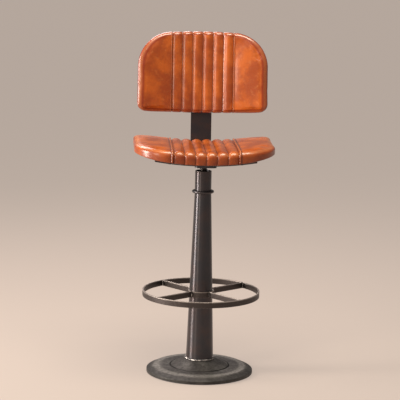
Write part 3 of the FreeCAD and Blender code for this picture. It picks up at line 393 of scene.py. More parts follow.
def worn_flat_bar():
    """Hot-rolled flat bar, blackened, then rubbed bright on its edges by shoes."""
    look = settings().metal
    bar = Finish("worn_flat_bar")
    place = bar.place()
    scale = bar.grain(place, 7 * MM, 6.0, 0.65)
    scratches = bar.grain(bar.stretched(0.25, 0.25, 1.6), 1.6 * MM, 4.0)
    height = bar.node("SeparateXYZ", inputs={"Vector": place}).outputs["Z"]
    hoop_top = 287 * MM
    top = bar.arithmetic("MULTIPLY", bar.ramp(height, hoop_top - 2.5 * MM, hoop_top),
                         bar.ramp(scale, 0.2, 0.5, 0.35, 0.9))
    edges = bar.arithmetic("MULTIPLY", bar.edge_wear(1.6 * MM), bar.ramp(scale, 0.25, 0.6))
    tone = bar.layer(look.flat_bar, look.blackened_warm, scale, 0.3, 0.75, 0.45)
    tone = bar.layer(tone, look.flat_bar_worn, scratches, 0.58, 0.8, 0.5)
    tone = bar.blend(bar.arithmetic("MAXIMUM", edges, top), tone, look.flat_bar_worn)
    return bar.done(Base_Color=tone, Metallic=0.85, Normal=bar.bump(scale, 0.12 * MM),
                    Roughness=bar.ramp(scale, 0.3, 0.7, 0.38, 0.56))


def sand_cast_iron():
    """Sand-cast iron, oiled: grainy skin with pits, greyer where shoes rub the foot, with a
    painted highlight on that band and painted shade on the bevel and in the gap round the hub.
    """
    look = settings().metal
    iron = Finish("sand_cast_iron")
    place = iron.place()
    sand = iron.grain(place, 1.8 * MM, 5.0, 0.7)
    skin = iron.grain(place, 9 * MM, 6.0, 0.7)
    cloud = iron.grain(place, 55 * MM)
    pits = iron.ramp(iron.cells("F1", place, 6 * MM, Randomness=1.0), 0.0, 0.28)
    parts = iron.node("SeparateXYZ", inputs={"Vector": place}).outputs
    squares = [iron.arithmetic("MULTIPLY", parts[axis], parts[axis]) for axis in "XY"]
    radius = iron.arithmetic("SQRT", iron.arithmetic("ADD", *squares))
    shelf_middle, bevel_start, gap = 148 * MM, 160 * MM, 101 * MM
    edges = iron.arithmetic("MULTIPLY", iron.edge_wear(2.2 * MM),
                            iron.ramp(skin, 0.35, 0.6, 0.0, 0.3))
    # A pale band round the top plate: partly wear where shoes rub, partly painted highlight near
    # the shoulder.
    shelf = iron.ramp(iron.apart(radius, shelf_middle), 18 * MM, 4 * MM, 0.0, 0.75)
    rubbed_and_highlight = iron.arithmetic("MULTIPLY", shelf, iron.ramp(skin, 0.2, 0.6))
    tone = iron.layer(look.iron_dark_and_bevel_shade, look.iron, skin, 0.32, 0.6)
    tone = iron.layer(tone, look.iron_worn, cloud, 0.45, 0.75, 0.3)
    tone = iron.layer(tone, look.iron_worn, sand, 0.62, 0.8, 0.35)
    tone = iron.blend(iron.arithmetic("MAXIMUM", edges, rubbed_and_highlight), tone, look.iron_worn)
    # Painted shade: the bevel outside the shoulder is darkened.
    tone = iron.layer(tone, look.iron_dark_and_bevel_shade, radius, bevel_start, bevel_start + 10 * MM, 0.5)
    # Painted shade in the gap round the hub.
    tone = iron.layer(tone, look.gap_shade, iron.apart(radius, gap), 4 * MM, 1.2 * MM, 0.95)
    normal = iron.bump(skin, 0.35 * MM, iron.bump(sand, 0.15 * MM))
    return iron.done(Base_Color=tone, Metallic=0.55, Normal=iron.bump(pits, 0.12 * MM, normal),
                     Roughness=iron.ramp(skin, 0.3, 0.7, 0.62, 0.42))


def moulded_rubber():
    """Moulded black rubber, dusty where it meets the floor."""
    rubber = Finish("moulded_rubber")
    dust = rubber.grain(rubber.place(), 4 * MM, 4.0)
    tone = rubber.layer(linear("#151414"), linear("#3A3735"), dust, 0.5, 0.8, 0.5)
    return rubber.done(Base_Color=tone, Roughness=0.85, Normal=rubber.bump(dust, 0.1 * MM))


def turned_metal(name, dark, pale, patch_size, detail, smoothest, roughest):
    """Metal turned on a lathe: fine rings across the bar, and patches of oil."""
    metal = Finish(name)
    rings = metal.grain(metal.stretched(0.1, 0.1, 3.0), 1.2 * MM)
    patches = metal.grain(metal.place(), patch_size, detail)
    tone = metal.layer(linear(dark), linear(pale), patches, 0.35, 0.7)
    return metal.done(Base_Color=tone, Metallic=1.0, Normal=metal.bump(rings, 0.03 * MM),
                      Roughness=metal.ramp(rings, 0.3, 0.7, smoothest, roughest))


def turned_steel():
    """Steel turned on a lathe and oiled, with dark oil in the thread."""
    return turned_metal("turned_oiled_steel", "#2C2827", "#5C5755", 8 * MM, 5.0, 0.24, 0.4)


def turned_bronze():
    """Bearing bronze, turned and greased."""
    return turned_metal("turned_bronze", "#6B4A22", "#A8793A", 10 * MM, 3.0, 0.36, 0.36)


def zinc_plated_steel():
    """Fasteners plated in dark zinc: an even satin with faint patches."""
    zinc = Finish("dark_zinc_plated_steel")
    patches = zinc.grain(zinc.place(), 3 * MM, 4.0)
    tone = zinc.layer(linear("#3B3A3B"), linear("#5B595A"), patches, 0.35, 0.7)
    return zinc.done(Base_Color=tone, Metallic=1.0, Normal=zinc.bump(patches, 0.03 * MM),
                     Roughness=zinc.ramp(patches, 0.3, 0.7, 0.3, 0.45))


def weld_metal():
    """Weld metal, wire-brushed: bright ripples with heat colour and soot between them."""
    look = settings().metal
    weld = Finish("brushed_weld_metal")
    soot = weld.grain(weld.place(), 5 * MM, 5.0)
    heat = weld.grain(weld.place(), 16 * MM)
    tone = weld.layer(look.blackened, look.weld, soot, 0.38, 0.62)
    tone = weld.layer(tone, look.blackened_warm, heat, 0.5, 0.75, 0.4)
    return weld.done(Base_Color=tone, Metallic=1.0, Normal=weld.bump(soot, 0.08 * MM),
                     Roughness=weld.ramp(soot, 0.3, 0.7, 0.45, 0.22))


def rotary_cut_plywood():
    """Rotary-cut birch plywood: broad wavy grain on the faces, thin glue lines on the edges."""
    wood = Finish("rotary_cut_plywood")
    figure = wood.grain(wood.stretched(1.0, 0.12, 1.0), 9 * MM, 5.0, 0.6)
    plies = wood.bands("Z", wood.place(), 1 / (9 * MM), 0.6)
    tone = wood.blend(figure, linear("#A9804F"), linear("#C9A674"))
    tone = wood.layer(tone, linear("#6E4C2B"), plies, 0.7, 1.0, 0.35)
    return wood.done(Base_Color=tone, Roughness=0.62, Normal=wood.bump(figure, 0.06 * MM))


def lining_cloth():
    """Thin black lining cloth, plain woven, stapled under the seat."""
    cloth = Finish("plain_woven_lining_cloth")
    place = cloth.stored("hide_place", "Vector")
    # Threads lie about 0.4 mm apart; drawn at 1.2 mm so that they show.
    thread = 1.2 * MM
    weave = cloth.arithmetic("MAXIMUM", *[cloth.bands(direction, place, 1 / thread / math.pi)
                                          for direction in "XY"])
    dust = cloth.grain(place, 20 * MM, 4.0)
    tone = cloth.layer(linear("#121112"), linear("#2C2A2A"), dust, 0.4, 0.8, 0.5)
    return cloth.done(Base_Color=tone, Roughness=0.9, Normal=cloth.bump(weave, 0.15 * MM),
                      Sheen_Weight=0.2)


FINISHES = {make.__name__: make for make in (
    tan_leather, waxed_thread, blackened_steel, blackened_tube, worn_flat_bar, sand_cast_iron,
    moulded_rubber, turned_steel, turned_bronze, zinc_plated_steel, weld_metal,
    rotary_cut_plywood, lining_cloth)}
made_finishes = {}


def finish(name):
    """The material of that name, made once."""
    if name not in made_finishes:
        made_finishes[name] = FINISHES[name]()
    return made_finishes[name]


def coat(name, *nodes):
    """Gives CAD pieces a finish."""
    for node in nodes:
        for slot in frame["nodes"][node].material_slots:
            slot.link = "DATA"
            slot.material = finish(name)


def new_piece(name, points, faces, material, body):
    """A mesh piece of a material that rides on a body and takes a slot."""
    mesh = bpy.data.meshes.new(name)
    mesh.from_pydata([tuple(point) for point in points], [], faces)
    mesh.validate()
    mesh.materials.append(finish(material))
    mesh.shade_smooth()
    piece = bpy.data.objects.new(name, mesh)
    bpy.context.scene.collection.objects.link(piece)
    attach(piece, body)
    return piece


def turned_over(face):
    """The same face seen from its other side, split along the same diagonal."""
    return face[:1] + face[:0:-1]


def tube_faces(rings, closed=False):
    """Faces of a tube along rings of point numbers, with ends unless it runs back to its start."""
    faces = []
    for first, second in zip(rings, rings[1:] + rings[:closed]):
        for side in range(len(first)):
            following = (side + 1) % len(first)
            faces.append((first[side], second[side], second[following], first[following]))
    if not closed:
        faces += [tuple(rings[0]), tuple(reversed(rings[-1]))]
    return faces


BOARD_THICKNESS = 9 * MM
# Steps of a run along an edge or round a corner, before it is sampled.
RUN_STEPS = 24
# Rounds of fitting a corner's arc between the two edges that it touches.
CORNER_ROUNDS = 20
# Shares of a channel's half width at which its columns stand, denser at the seams.
CHANNEL_COLUMN_SHARES = (-1.0, -0.93, -0.8, -0.6, -0.3, 0.0, 0.3, 0.6, 0.8, 0.93)
# The raised seam beside the outer channels: shares of its width and of its height.
WELT_COLUMN_SHARES = ((0.16, -0.1), (0.3, 0.85), (0.5, 1.0), (0.72, 0.85), (0.86, -0.2),
                      (1.0, -1.3))
PANEL_COLUMNS = 11
ROWS = 52
ROUND_RINGS = 6
WALL_RINGS = 4
LIP_RINGS = 3
LIP_ROUND = 2.5 * MM
UNDER_LEVEL = -0.2 * MM
# How the channels' arches fill out: on the face, and squarer where they wrap the edges.
FACE_POWER = 2.2
EDGE_POWER = 5.0


def mirrored(place):
    """A flat place or direction, on the other side."""
    return Vector((-place.x, place.y))


class OutlineSpot(NamedTuple):
    """A point of a cushion's outline with its outward direction."""
    place: Vector
    outward: Vector

    def mirrored(self):
        """The same point on the left."""
        return OutlineSpot(mirrored(self.place), mirrored(self.outward))


class Run:
    """A run of places, read by the distance along it."""

    def __init__(self, places):
        self.places = places
        self.reach = [0.0]
        for first, second in zip(places, places[1:]):
            self.reach.append(self.reach[-1] + (second - first).length)

    def step_at(self, distance):
        """The number of the step that a distance falls in, and the share of that step."""
        step = 0
        while step < len(self.places) - 2 and self.reach[step + 1] < distance:
            step += 1
        gap = self.reach[step + 1] - self.reach[step]
        return step, (distance - self.reach[step]) / gap if gap else 0

    def at(self, distance):
        """The place at a distance along the run."""
        step, share = self.step_at(distance)
        return self.places[step].lerp(self.places[step + 1], share)


def sample(spots, count):
    """Spots evenly spaced along a run, by length."""
    run = Run([spot.place for spot in spots])
    result = []
    for index in range(count + 1):
        step, share = run.step_at(run.reach[-1] * index / count)
        first, second = spots[step], spots[step + 1]
        result.append(OutlineSpot(first.place.lerp(second.place, share),
                                  first.outward.lerp(second.outward, share).normalized()))
    return result


class CushionForm:
    """A dished, channelled cushion in flat coordinates: across, along and up.

    Along runs from the foot edge to the head edge, which has the large corners. Up is
    measured from the board's outer face. The form is made flat and then lifted onto the dish.
    """

    def __init__(self, sizes, placement):
        self.sizes = sizes
        self.half = sizes.width / 2
        self.placement = placement
        self.channels = settings().channels

    def radius_at(self, level):
        """Radius of the surface at a level: even in the board, flatter in the padding."""
        sizes = self.sizes
        if level <= BOARD_THICKNESS:
            return sizes.dish_radius - level
        share = min(1, (level - BOARD_THICKNESS) / (sizes.thickness - BOARD_THICKNESS))
        return 1 / ((1 - share) / (sizes.dish_radius - BOARD_THICKNESS) + share / sizes.top_radius)

    def bend(self, across, along, up):
        """Lifts a flat point onto the dish and puts it in its place on the chair."""
        radius = self.radius_at(up)
        lifted = up + radius - math.sqrt(radius ** 2 - across ** 2)
        return self.placement @ Vector((across, along, lifted))

    def end_edge(self, across, head):
        """Where the head or foot edge lies, before its corners are rounded."""
        share = (across / self.half) ** 2
        if head:
            return self.sizes.length - self.sizes.head_bow * share
        return self.sizes.foot_bow * share

    def end_normal(self, across, head):
        """Outward direction of the head or foot edge."""
        bow, sign = (-self.sizes.head_bow, 1) if head else (self.sizes.foot_bow, -1)
        slope = 2 * bow * across / self.half ** 2
        return Vector((-slope * sign, sign)).normalized()

    def side_edge(self, along):
        """Where the right side lies, drawn in between its corners."""
        share = along / self.sizes.length * 2 - 1
        return self.half - self.sizes.draw * (1 - share ** 2)

    def side_normal(self, along):
        """Outward direction of the right side."""
        share = along / self.sizes.length * 2 - 1
        return Vector((1, -4 * self.sizes.draw * share / self.sizes.length)).normalized()

    def corner(self, head):
        """Centre, radius and the two end directions of the right corner's arc."""
        radius = self.sizes.head_corner if head else self.sizes.foot_corner
        centre = Vector((self.half - radius, self.sizes.length - radius if head else radius))
        for _ in range(CORNER_ROUNDS):
            touch = centre.x + radius * self.end_normal(centre.x, head).x
            end_normal = self.end_normal(touch, head)
            centre.y = self.end_edge(touch, head) - radius * end_normal.y
            side_normal = self.side_normal(centre.y)
            centre.x = self.side_edge(centre.y + radius * side_normal.y) - radius * side_normal.x
        return centre, radius, end_normal, side_normal

    def corner_arc(self, head, from_share, to_share):
        """Spots on a corner's arc; share runs from the head or foot edge to the side."""
        centre, radius, *normals = self.corner(head)
        start, stop = (math.atan2(normal.y, normal.x) for normal in normals)
        spots = []
        for step in range(RUN_STEPS + 1):
            share = from_share + (to_share - from_share) * step / RUN_STEPS
            turn = start + (stop - start) * share
            outward = Vector((math.cos(turn), math.sin(turn)))
            spots.append(OutlineSpot(centre + outward * radius, outward))
        return spots

    def end_run(self, start, head):
        """Spots from the panel's seam along the head or foot edge to the corner's middle."""
        centre, radius, end_normal, _ = self.corner(head)
        stop = centre.x + radius * end_normal.x
        spots = []
        for step in range(RUN_STEPS):
            across = start + (stop - start) * step / RUN_STEPS
            outward = self.end_normal(across, head)
            outward.x *= min(1, (across - start) / self.sizes.side_round)
            spots.append(OutlineSpot(Vector((across, self.end_edge(across, head))),
                                     outward.normalized()))
        return spots + self.corner_arc(head, 0, 0.5)

    def side_run(self):
        """Spots up the right side from one corner's middle to the other's."""
        start, stop = (centre.y + radius * side_normal.y
                       for centre, radius, _, side_normal in map(self.corner, (False, True)))
        spots = self.corner_arc(False, 0.5, 1)
        for step in range(1, RUN_STEPS):
            along = start + (stop - start) * step / RUN_STEPS
            spots.append(OutlineSpot(Vector((self.side_edge(along), along)),
                                     self.side_normal(along)))
        return spots + self.corner_arc(True, 0.5, 1)[::-1]

    def round_width(self, spot):
        """How wide the edge's rounding is at a spot of the outline."""
        sizes = self.sizes
        end = sizes.head_round if spot.place.y > sizes.length / 2 else sizes.foot_round
        return end + (sizes.side_round - end) * abs(spot.outward.x) ** 1.5

    def round_height(self, spot):
        """How deep the edge's rounding is at a spot of the outline."""
        sizes = self.sizes
        share = min(1, max(0, spot.place.y / sizes.length))
        return sizes.foot_round + (sizes.head_round - sizes.foot_round) * share

    def half_patch(self, start_of, inset_of, columns):
        """The right part of the outline's inside, by column and row, with its edges' spots.

        The inner line runs where start_of says for a share of the length, and the other
        edges are drawn in by inset_of. The edges are the columns' ends and the side.
        """
        foot = sample(self.end_run(start_of(0), False), columns)
        head = sample(self.end_run(start_of(1), True), columns)
        side = sample(self.side_run(), ROWS)

        def inset(spot):
            return spot.place - spot.outward * inset_of(spot)

        low, high = inset(foot[0]), inset(head[0])
        table = []
        for index in range(columns + 1):
            s = index / columns
            line = []
            for row in range(ROWS + 1):
                t = row / ROWS
                along = low.y + (high.y - low.y) * t
                inner = Vector((start_of(along / self.sizes.length), along))
                line.append(inner * (1 - s) + inset(side[row]) * s
                            + inset(foot[index]) * (1 - t) + inset(head[index]) * t
                            - low * (1 - s) * (1 - t) - inset(side[0]) * s * (1 - t)
                            - high * (1 - s) * t - inset(side[-1]) * s * t)
            table.append(line)
        return table, list(zip(foot, head)), side


class Column(NamedTuple):
    """One line of points along the cushion: the seam that it keeps to, and its looks."""
    seam_count: float = 0.0
    offset: float = 0.0
    share: float = 0.0
    rise: float = 0.0
    seam: float = 0.0
    held: float = 0.0


class FacePoint(NamedTuple):
    """A point of the cushion's face, before it is sunk."""
    place: Vector
    up: float
    column: Column = Column()


class SkinMesh:
    """Points and faces of a skin that is laid out flat, with what its material reads."""

    def __init__(self, form):
        self.form = form
        self.points = []
        self.places = []
        self.looks = {"seam": [], "ridge": [], "rim_shade": []}
        self.held = []
        self.faces = []

    def add(self, place, up, direction=UPWARD, sunk=0, seam=0, ridge=0, held=1, rim_shade=0):
        """Adds a point: its flat place and level, sunk against a direction."""
        flat = (place.x - direction.x * sunk, place.y - direction.y * sunk,
                up - direction.z * sunk)
        self.points.append(self.form.bend(*flat))
        self.places.append(flat)
        self.held.append(float(held))
        # The rim value marks where painted shade darkens the rounded edges, scaled per cushion.
        for name, value in (("seam", seam), ("ridge", ridge),
                            ("rim_shade", rim_shade * self.form.sizes.edge_dye)):
            self.looks[name].append(float(value))
        return len(self.points) - 1

    def join_grid(self, grid, facing_up=True):
        """Faces between the rows of a grid."""
        for low, high in zip(grid, grid[1:]):
            for index in range(len(low) - 1):
                face = (low[index], low[index + 1], high[index + 1], high[index])
                self.faces.append(face if facing_up else turned_over(face))

    def join_rings(self, rings):
        """Faces between rings that follow each other outwards, with as many points each."""
        for inner, outer in zip(rings, rings[1:]):
            for index in range(len(inner)):
                following = (index + 1) % len(inner)
                self.faces.append((outer[index], outer[following], inner[following],
                                   inner[index]))

    def edge_loop(self, grid, edges, side, lines):
        """The edge of a grid: each point with its outline spot and its line's entry."""
        last = len(lines) - 1
        loop = [(grid[0][index], edges[index][0], lines[index][0]) for index in range(last)]
        loop += [(grid[row][-1], side[row], lines[-1][row]) for row in range(ROWS)]
        loop += [(grid[-1][index], edges[index][1], lines[index][-1])
                 for index in range(last, 0, -1)]
        loop += [(grid[row][0], side[row].mirrored(), lines[0][row])
                 for row in range(ROWS, 0, -1)]
        return loop

    def to_piece(self, name, material):
        """The skin as a piece that turns with the seat."""
        piece = new_piece(name, self.points, self.faces, material, "seat")
        place = piece.data.attributes.new("hide_place", "FLOAT_VECTOR", "POINT")
        place.data.foreach_set("vector", [part for flat in self.places for part in flat])
        for look, values in self.looks.items():
            piece.data.attributes.new(look, "FLOAT", "POINT").data.foreach_set("value", values)
        return piece


class BackingMesh(SkinMesh):
    """A thin skin on a cushion's outer side: an even inside and rings along its edge."""

    def __init__(self, form, profile, depth_at, closed):
        super().__init__(form)
        first_inset, first_depth = profile[0]
        last_inset, last_depth = profile[-1][:2]
        right, right_edges, side = form.half_patch(
            lambda share: 0.0, lambda spot: first_inset, PANEL_COLUMNS * 2)
        lines = [[mirrored(place) for place in line] for line in right[:0:-1]] + right
        edges = [[spot.mirrored() for spot in ends] for ends in right_edges[:0:-1]] + right_edges
        grid = self.face_grid(lines, lambda place: depth_at(place) + first_depth)
        self.join_grid(grid, facing_up=False)
        loop = self.edge_loop(grid, edges, side, lines)
        self.rings = [[vertex for vertex, _, _ in loop]]
        for inset, depth, seam, ridge in profile[1:]:
            self.rings.append([
                self.add(spot.place - spot.outward * inset, -depth, seam=seam, ridge=ridge,
                         rim_shade=0.4) for _, spot, _ in loop])
        if closed:
            inside = self.face_grid(lines, lambda place: last_depth)
            self.join_grid(inside)
            self.rings.append([vertex for vertex, _, _ in
                               self.edge_loop(inside, edges, side, lines)])
        for inner, outer in zip(self.rings, self.rings[1:]):
            self.join_rings([outer, inner])
        self.area = flat_area(lines)
        self.size = [2 * (form.half - last_inset), form.sizes.length - 2 * last_inset]

    def face_grid(self, lines, depth_at):
        """The even inside, at its depth behind the board."""
        return [[self.add(place, -depth_at(place), rim_shade=0.1) for place in row]
                for row in zip(*lines)]


def flat_area(lines):
    """Flat area that lines of places span."""
    total = 0
    for first, second in zip(lines, lines[1:]):
        for row in range(len(first) - 1):
            one = second[row + 1] - first[row]
            other = first[row + 1] - second[row]
            total += abs(one.x * other.y - one.y * other.x) / 2
    return total


class CushionMesh(SkinMesh):
    """Builds the cover of a cushion, with its channels, welts, panels, walls and underside."""

    def __init__(self, form):
        super().__init__(form)
        middle = self.columns()
        table, ends, side = form.half_patch(lambda share: self.across(middle[-1], share),
                                            form.round_width, PANEL_COLUMNS)
        right = [self.panel_line(index / PANEL_COLUMNS, table[index])
                 for index in range(1, PANEL_COLUMNS + 1)]
        left = [[point._replace(place=mirrored(point.place)) for point in line]
                for line in right[::-1]]
        lines = left + [self.seam_line(column) for column in middle] + right
        edges = ([[spot.mirrored() for spot in pair] for pair in ends[:0:-1]]
                 + [self.seam_ends(column) for column in middle] + ends[1:])
        self.grid = [[self.add(point.place, point.up, UPWARD, self.sunk(point, 1),
                               point.column.seam, held=point.column.held) for point in row]
                     for row in zip(*lines)]
        self.join_grid(self.grid)
        self.wrap_edges(self.edge_loop(self.grid, edges, side, lines), lines)

    def columns(self):
        """The columns between the two plain side panels, left to right."""
        sizes, count = self.form.sizes, self.form.channels.count
        middle = [Column(number - count / 2 + (share + 1) / 2, 0, abs(share), 0,
                         abs(share) ** 10, float(abs(share) == 1))
                  for number in range(count) for share in CHANNEL_COLUMN_SHARES]
        middle.append(Column(count / 2, 0, 1.0, 0, 1.0, 1.0))
        darkness = 0.3 + 0.5 * sizes.welt_rise / MM
        right = [Column(count / 2, share * sizes.welt, 0, sizes.welt_rise * rise,
                        *((darkness, 1.0) if rise < 0 else (0.1, 0.6)))
                 for share, rise in WELT_COLUMN_SHARES]
        left = [column._replace(seam_count=-column.seam_count, offset=-column.offset)
                for column in right[::-1]]
        return left + middle + right

    def across(self, column, share):
        """Where a column stands, at a share of the cushion's length."""
        sizes = self.form.sizes
        pitch = sizes.foot_pitch + (sizes.head_pitch - sizes.foot_pitch) * share
        return column.seam_count * pitch + column.offset

    def sunk(self, point, facing):
        """How far a point is sunk; facing is 1 on the cushion's face, 0 on its sides."""
        power = EDGE_POWER + (FACE_POWER - EDGE_POWER) * facing
        sizes = self.form.sizes
        depth = sizes.depth * (sizes.edge_share + (1 - sizes.edge_share) * facing ** 1.5)
        return depth * point.column.share ** power - point.column.rise

    def panel_line(self, share, places):
        """A line of the right side panel, at a share of its width."""
        form = self.form
        line = []
        for row, place in enumerate(places):
            swell = math.sin(math.pi * share) * math.sin(math.pi * row / ROWS)
            line.append(FacePoint(place, form.sizes.thickness + form.channels.pillow * swell))
        return line

    def seam_ends(self, column):
        """The outline spots of a line of the channels or welts, at its foot and its head."""
        ends = []
        for head, outward in ((0, -1), (1, 1)):
            across = self.across(column, head)
            ends.append(OutlineSpot(Vector((across, self.form.end_edge(across, head))),
                                    Vector((0, outward))))
        return ends

    def seam_line(self, column):
        """A line of the channels or welts, between the rounded edges."""
        form = self.form
        foot, head = self.seam_ends(column)
        low = foot.place.y + form.round_width(foot)
        high = head.place.y - form.round_width(head)
        crown = form.channels.crown if column.offset == 0 else 0
        line = []
        for row in range(ROWS + 1):
            along = low + (high - low) * row / ROWS
            place = Vector((self.across(column, along / form.sizes.length), along))
            rise = crown * (1 - (2 * row / ROWS - 1) ** 2)
            line.append(FacePoint(place, form.sizes.thickness + rise, column))
        return line

    def wrap_edges(self, loop, lines):
        """Takes the face over its rounded edge, down the sides and under the board."""
        form = self.form
        rings = [[vertex for vertex, _, _ in loop]]
        for ring in range(1, ROUND_RINGS + 1):
            rings.append(self.round_ring(loop, math.pi / 2 * (1 - ring / ROUND_RINGS)))
        for ring in range(1, WALL_RINGS + 1):
            rings.append(self.wall_ring(loop, ring / WALL_RINGS))
        for ring in range(1, LIP_RINGS + 1):
            rings.append(self.lip_ring(loop, math.pi / 2 * ring / LIP_RINGS))
        rings.append([self.add(spot.place - spot.outward * form.round_width(spot), UNDER_LEVEL)
                      for _, spot, _ in loop])
        self.join_rings(rings)
        lower = dict(zip(rings[0], rings[-1]))
        under = [[lower[vertex] if vertex in lower else self.add(line[row].place, UNDER_LEVEL)
                  for vertex, line in zip(vertices, lines)]
                 for row, vertices in enumerate(self.grid)]
        self.join_grid(under, facing_up=False)
        self.mark_stitches(rings)

    def round_ring(self, loop, turn):
        """A ring of points round the rounded upper edge, at an angle above the outline."""
        outwards, facing = math.cos(turn), math.sin(turn)
        ring = []
        for _, spot, point in loop:
            wide, deep = self.form.round_width(spot), self.form.round_height(spot)
            place = spot.place - spot.outward * wide * (1 - outwards)
            direction = Vector((spot.outward.x * outwards / wide,
                                spot.outward.y * outwards / wide, facing / deep)).normalized()
            ring.append(self.add(
                place, point.up - deep * (1 - facing), direction, self.sunk(point, facing),
                point.column.seam, math.sin(2 * turn) ** 2, point.column.held, outwards))
        return ring

    def wall_ring(self, loop, share):
        """A ring of points down the upright side, at a share of its height."""
        ring = []
        for _, spot, point in loop:
            top = point.up - self.form.round_height(spot)
            held = max(point.column.held, 0.2 + 0.6 * share ** 2)
            ring.append(self.add(
                spot.place, top + (LIP_ROUND - top) * share, spot.outward.to_3d(),
                self.sunk(point, 0), point.column.seam, held=held, rim_shade=1))
        return ring

    def lip_ring(self, loop, turn):
        """A ring of points round the lower edge, where the leather turns under."""
        outwards = math.cos(turn)
        ring = []
        for _, spot, point in loop:
            place = spot.place - spot.outward * LIP_ROUND * (1 - outwards)
            direction = Vector((spot.outward.x * outwards, spot.outward.y * outwards, 0))
            ring.append(self.add(place, LIP_ROUND * (1 - math.sin(turn)), direction,
                                 self.sunk(point, 0), point.column.seam, rim_shade=1))
        return ring

    def mark_stitches(self, rings):
        """Keeps the points that the row of stitches on each welt follows."""
        inside = len(WELT_COLUMN_SHARES) + PANEL_COLUMNS - 3
        outer_rings = rings[1:1 + ROUND_RINGS + WALL_RINGS]
        self.stitch_lines = []
        for column in (inside, len(self.grid[0]) - 1 - inside):
            foot, head = (rings[0].index(self.grid[row][column]) for row in (0, -1))
            self.stitch_lines.append([ring[foot] for ring in outer_rings[::-1]]
                                     + [row[column] for row in self.grid]
                                     + [ring[head] for ring in outer_rings])


# How a cover behaves while it is stuffed, in the words of Blender's cloth.
STUFFING = {
    "quality": 7, "mass": 0.3, "tension_stiffness": 25, "compression_stiffness": 25,
    "shear_stiffness": 10, "bending_stiffness": 2, "use_pressure": True,
    "uniform_pressure_force": 4, "vertex_group_mass": "held", "shrink_min": -0.004,
}
STUFFING_FRAMES = 20
# Widest shake of the leather before it is stuffed, so that it does not fold evenly.
JITTER = 0.03 * MM


def stuff(piece, held, most):
    """Lets a cover swell like stuffed leather, held at its seams, by no more than a limit."""
    vertices = piece.data.vertices
    before = [vertex.co.copy() for vertex in vertices]
    random.seed(7)
    for vertex, weight in zip(vertices, held):
        if weight < 1:
            vertex.co += vertex.normal * ((random.random() - 0.5) * JITTER)
    group = piece.vertex_groups.new(name="held")
    for index, weight in enumerate(held):
        if weight > 0:
            group.add([index], weight, "REPLACE")
    cloth = piece.modifiers.new("stuffing", "CLOTH")
    for name, value in STUFFING.items():
        setattr(cloth.settings, name, value)
    cloth.settings.effector_weights.gravity = 0
    cloth.collision_settings.use_collision = False
    cloth.point_cache.frame_start = 1
    cloth.point_cache.frame_end = STUFFING_FRAMES
    scene = bpy.context.scene
    for number in range(1, STUFFING_FRAMES + 1):
        scene.frame_set(number)
    shaped = piece.evaluated_get(bpy.context.evaluated_depsgraph_get()).data
    steps = [vertex.co - start for vertex, start in zip(shaped.vertices, before)]
    piece.modifiers.remove(cloth)
    piece.vertex_groups.remove(group)
    scene.frame_set(1)
    for vertex, start, step in zip(vertices, before, evened(piece.data, steps, held)):
        if step.length > most:
            step *= most / step.length
        vertex.co = start + step


def evened(mesh, steps, held, rounds=4):
    """Steps of a mesh's vertices, each drawn towards its neighbours' mean to leave no dents."""
    near = [[] for _ in steps]
    for edge in mesh.edges:
        first, second = edge.vertices
        near[first].append(second)
        near[second].append(first)
    for _ in range(rounds):
        means = [sum((steps[other] for other in others), Vector()) / len(others)
                 for others in near]
        steps = [step if weight >= 1 else (step + mean) / 2
                 for step, mean, weight in zip(steps, means, held)]
    return steps


def subdivide(piece):
    """Replaces a piece's mesh by its smooth subdivision."""
    modifier = piece.modifiers.new("smooth", "SUBSURF")
    modifier.levels = modifier.render_levels = 1
    evaluated = piece.evaluated_get(bpy.context.evaluated_depsgraph_get())
    mesh = bpy.data.meshes.new_from_object(evaluated)
    piece.modifiers.remove(modifier)
    old = piece.data
    piece.data = mesh
    mesh.name = old.name
    bpy.data.meshes.remove(old)


def pucker(piece, seed):
    """Adds the small gathers beside the seams and the slack creases of worn hide."""
    mesh = piece.data
    places = [value.vector.copy() for value in mesh.attributes["hide_place"].data]
    seams, ridges = ([value.value for value in mesh.attributes[name].data]
                     for name in ("seam", "ridge"))
    normals = [vertex.normal.copy() for vertex in mesh.vertices]
    # Each cushion reads the noise at a place of its own.
    shift = Vector((seed * 1.7, seed * 0.9, seed * 2.3))
    gather_size, slack_size = 9 * MM, 45 * MM
    plain_lift, seam_lift, ridge_lift, slack_lift = 0.02, 0.08, 0.04, 0.3
    for vertex, normal, place, seam, ridge in zip(mesh.vertices, normals, places, seams, ridges):
        gather = noise.noise(Vector((place.x / (3 * gather_size), place.y / gather_size,
                                     place.z / gather_size)) + shift)
        slack = noise.noise(place / slack_size + shift)
        gathered = (plain_lift + seam_lift * min(1, seam * 3) + ridge_lift * ridge) * gather
        vertex.co += normal * ((gathered + slack_lift * slack) * MM)


def round_of(centre, first, second, radius, sides):
    """Points of a ring in the plane of two directions, from the end of the first."""
    turns = [math.tau * side / sides for side in range(sides)]
    return [centre + (first * math.cos(turn) + second * math.sin(turn)) * radius
            for turn in turns]


# Along one stitch: a share of it, with the thread's thickness there and its rise, as shares
# of the thread's radius.
STITCH_PROFILE = ((0.0, 0.55, -0.8), (0.12, 0.95, 0.1), (0.35, 1.0, 0.6), (0.65, 1.0, 0.6),
                  (0.88, 0.95, 0.1), (1.0, 0.55, -0.8))
STITCH_SIDES = 6


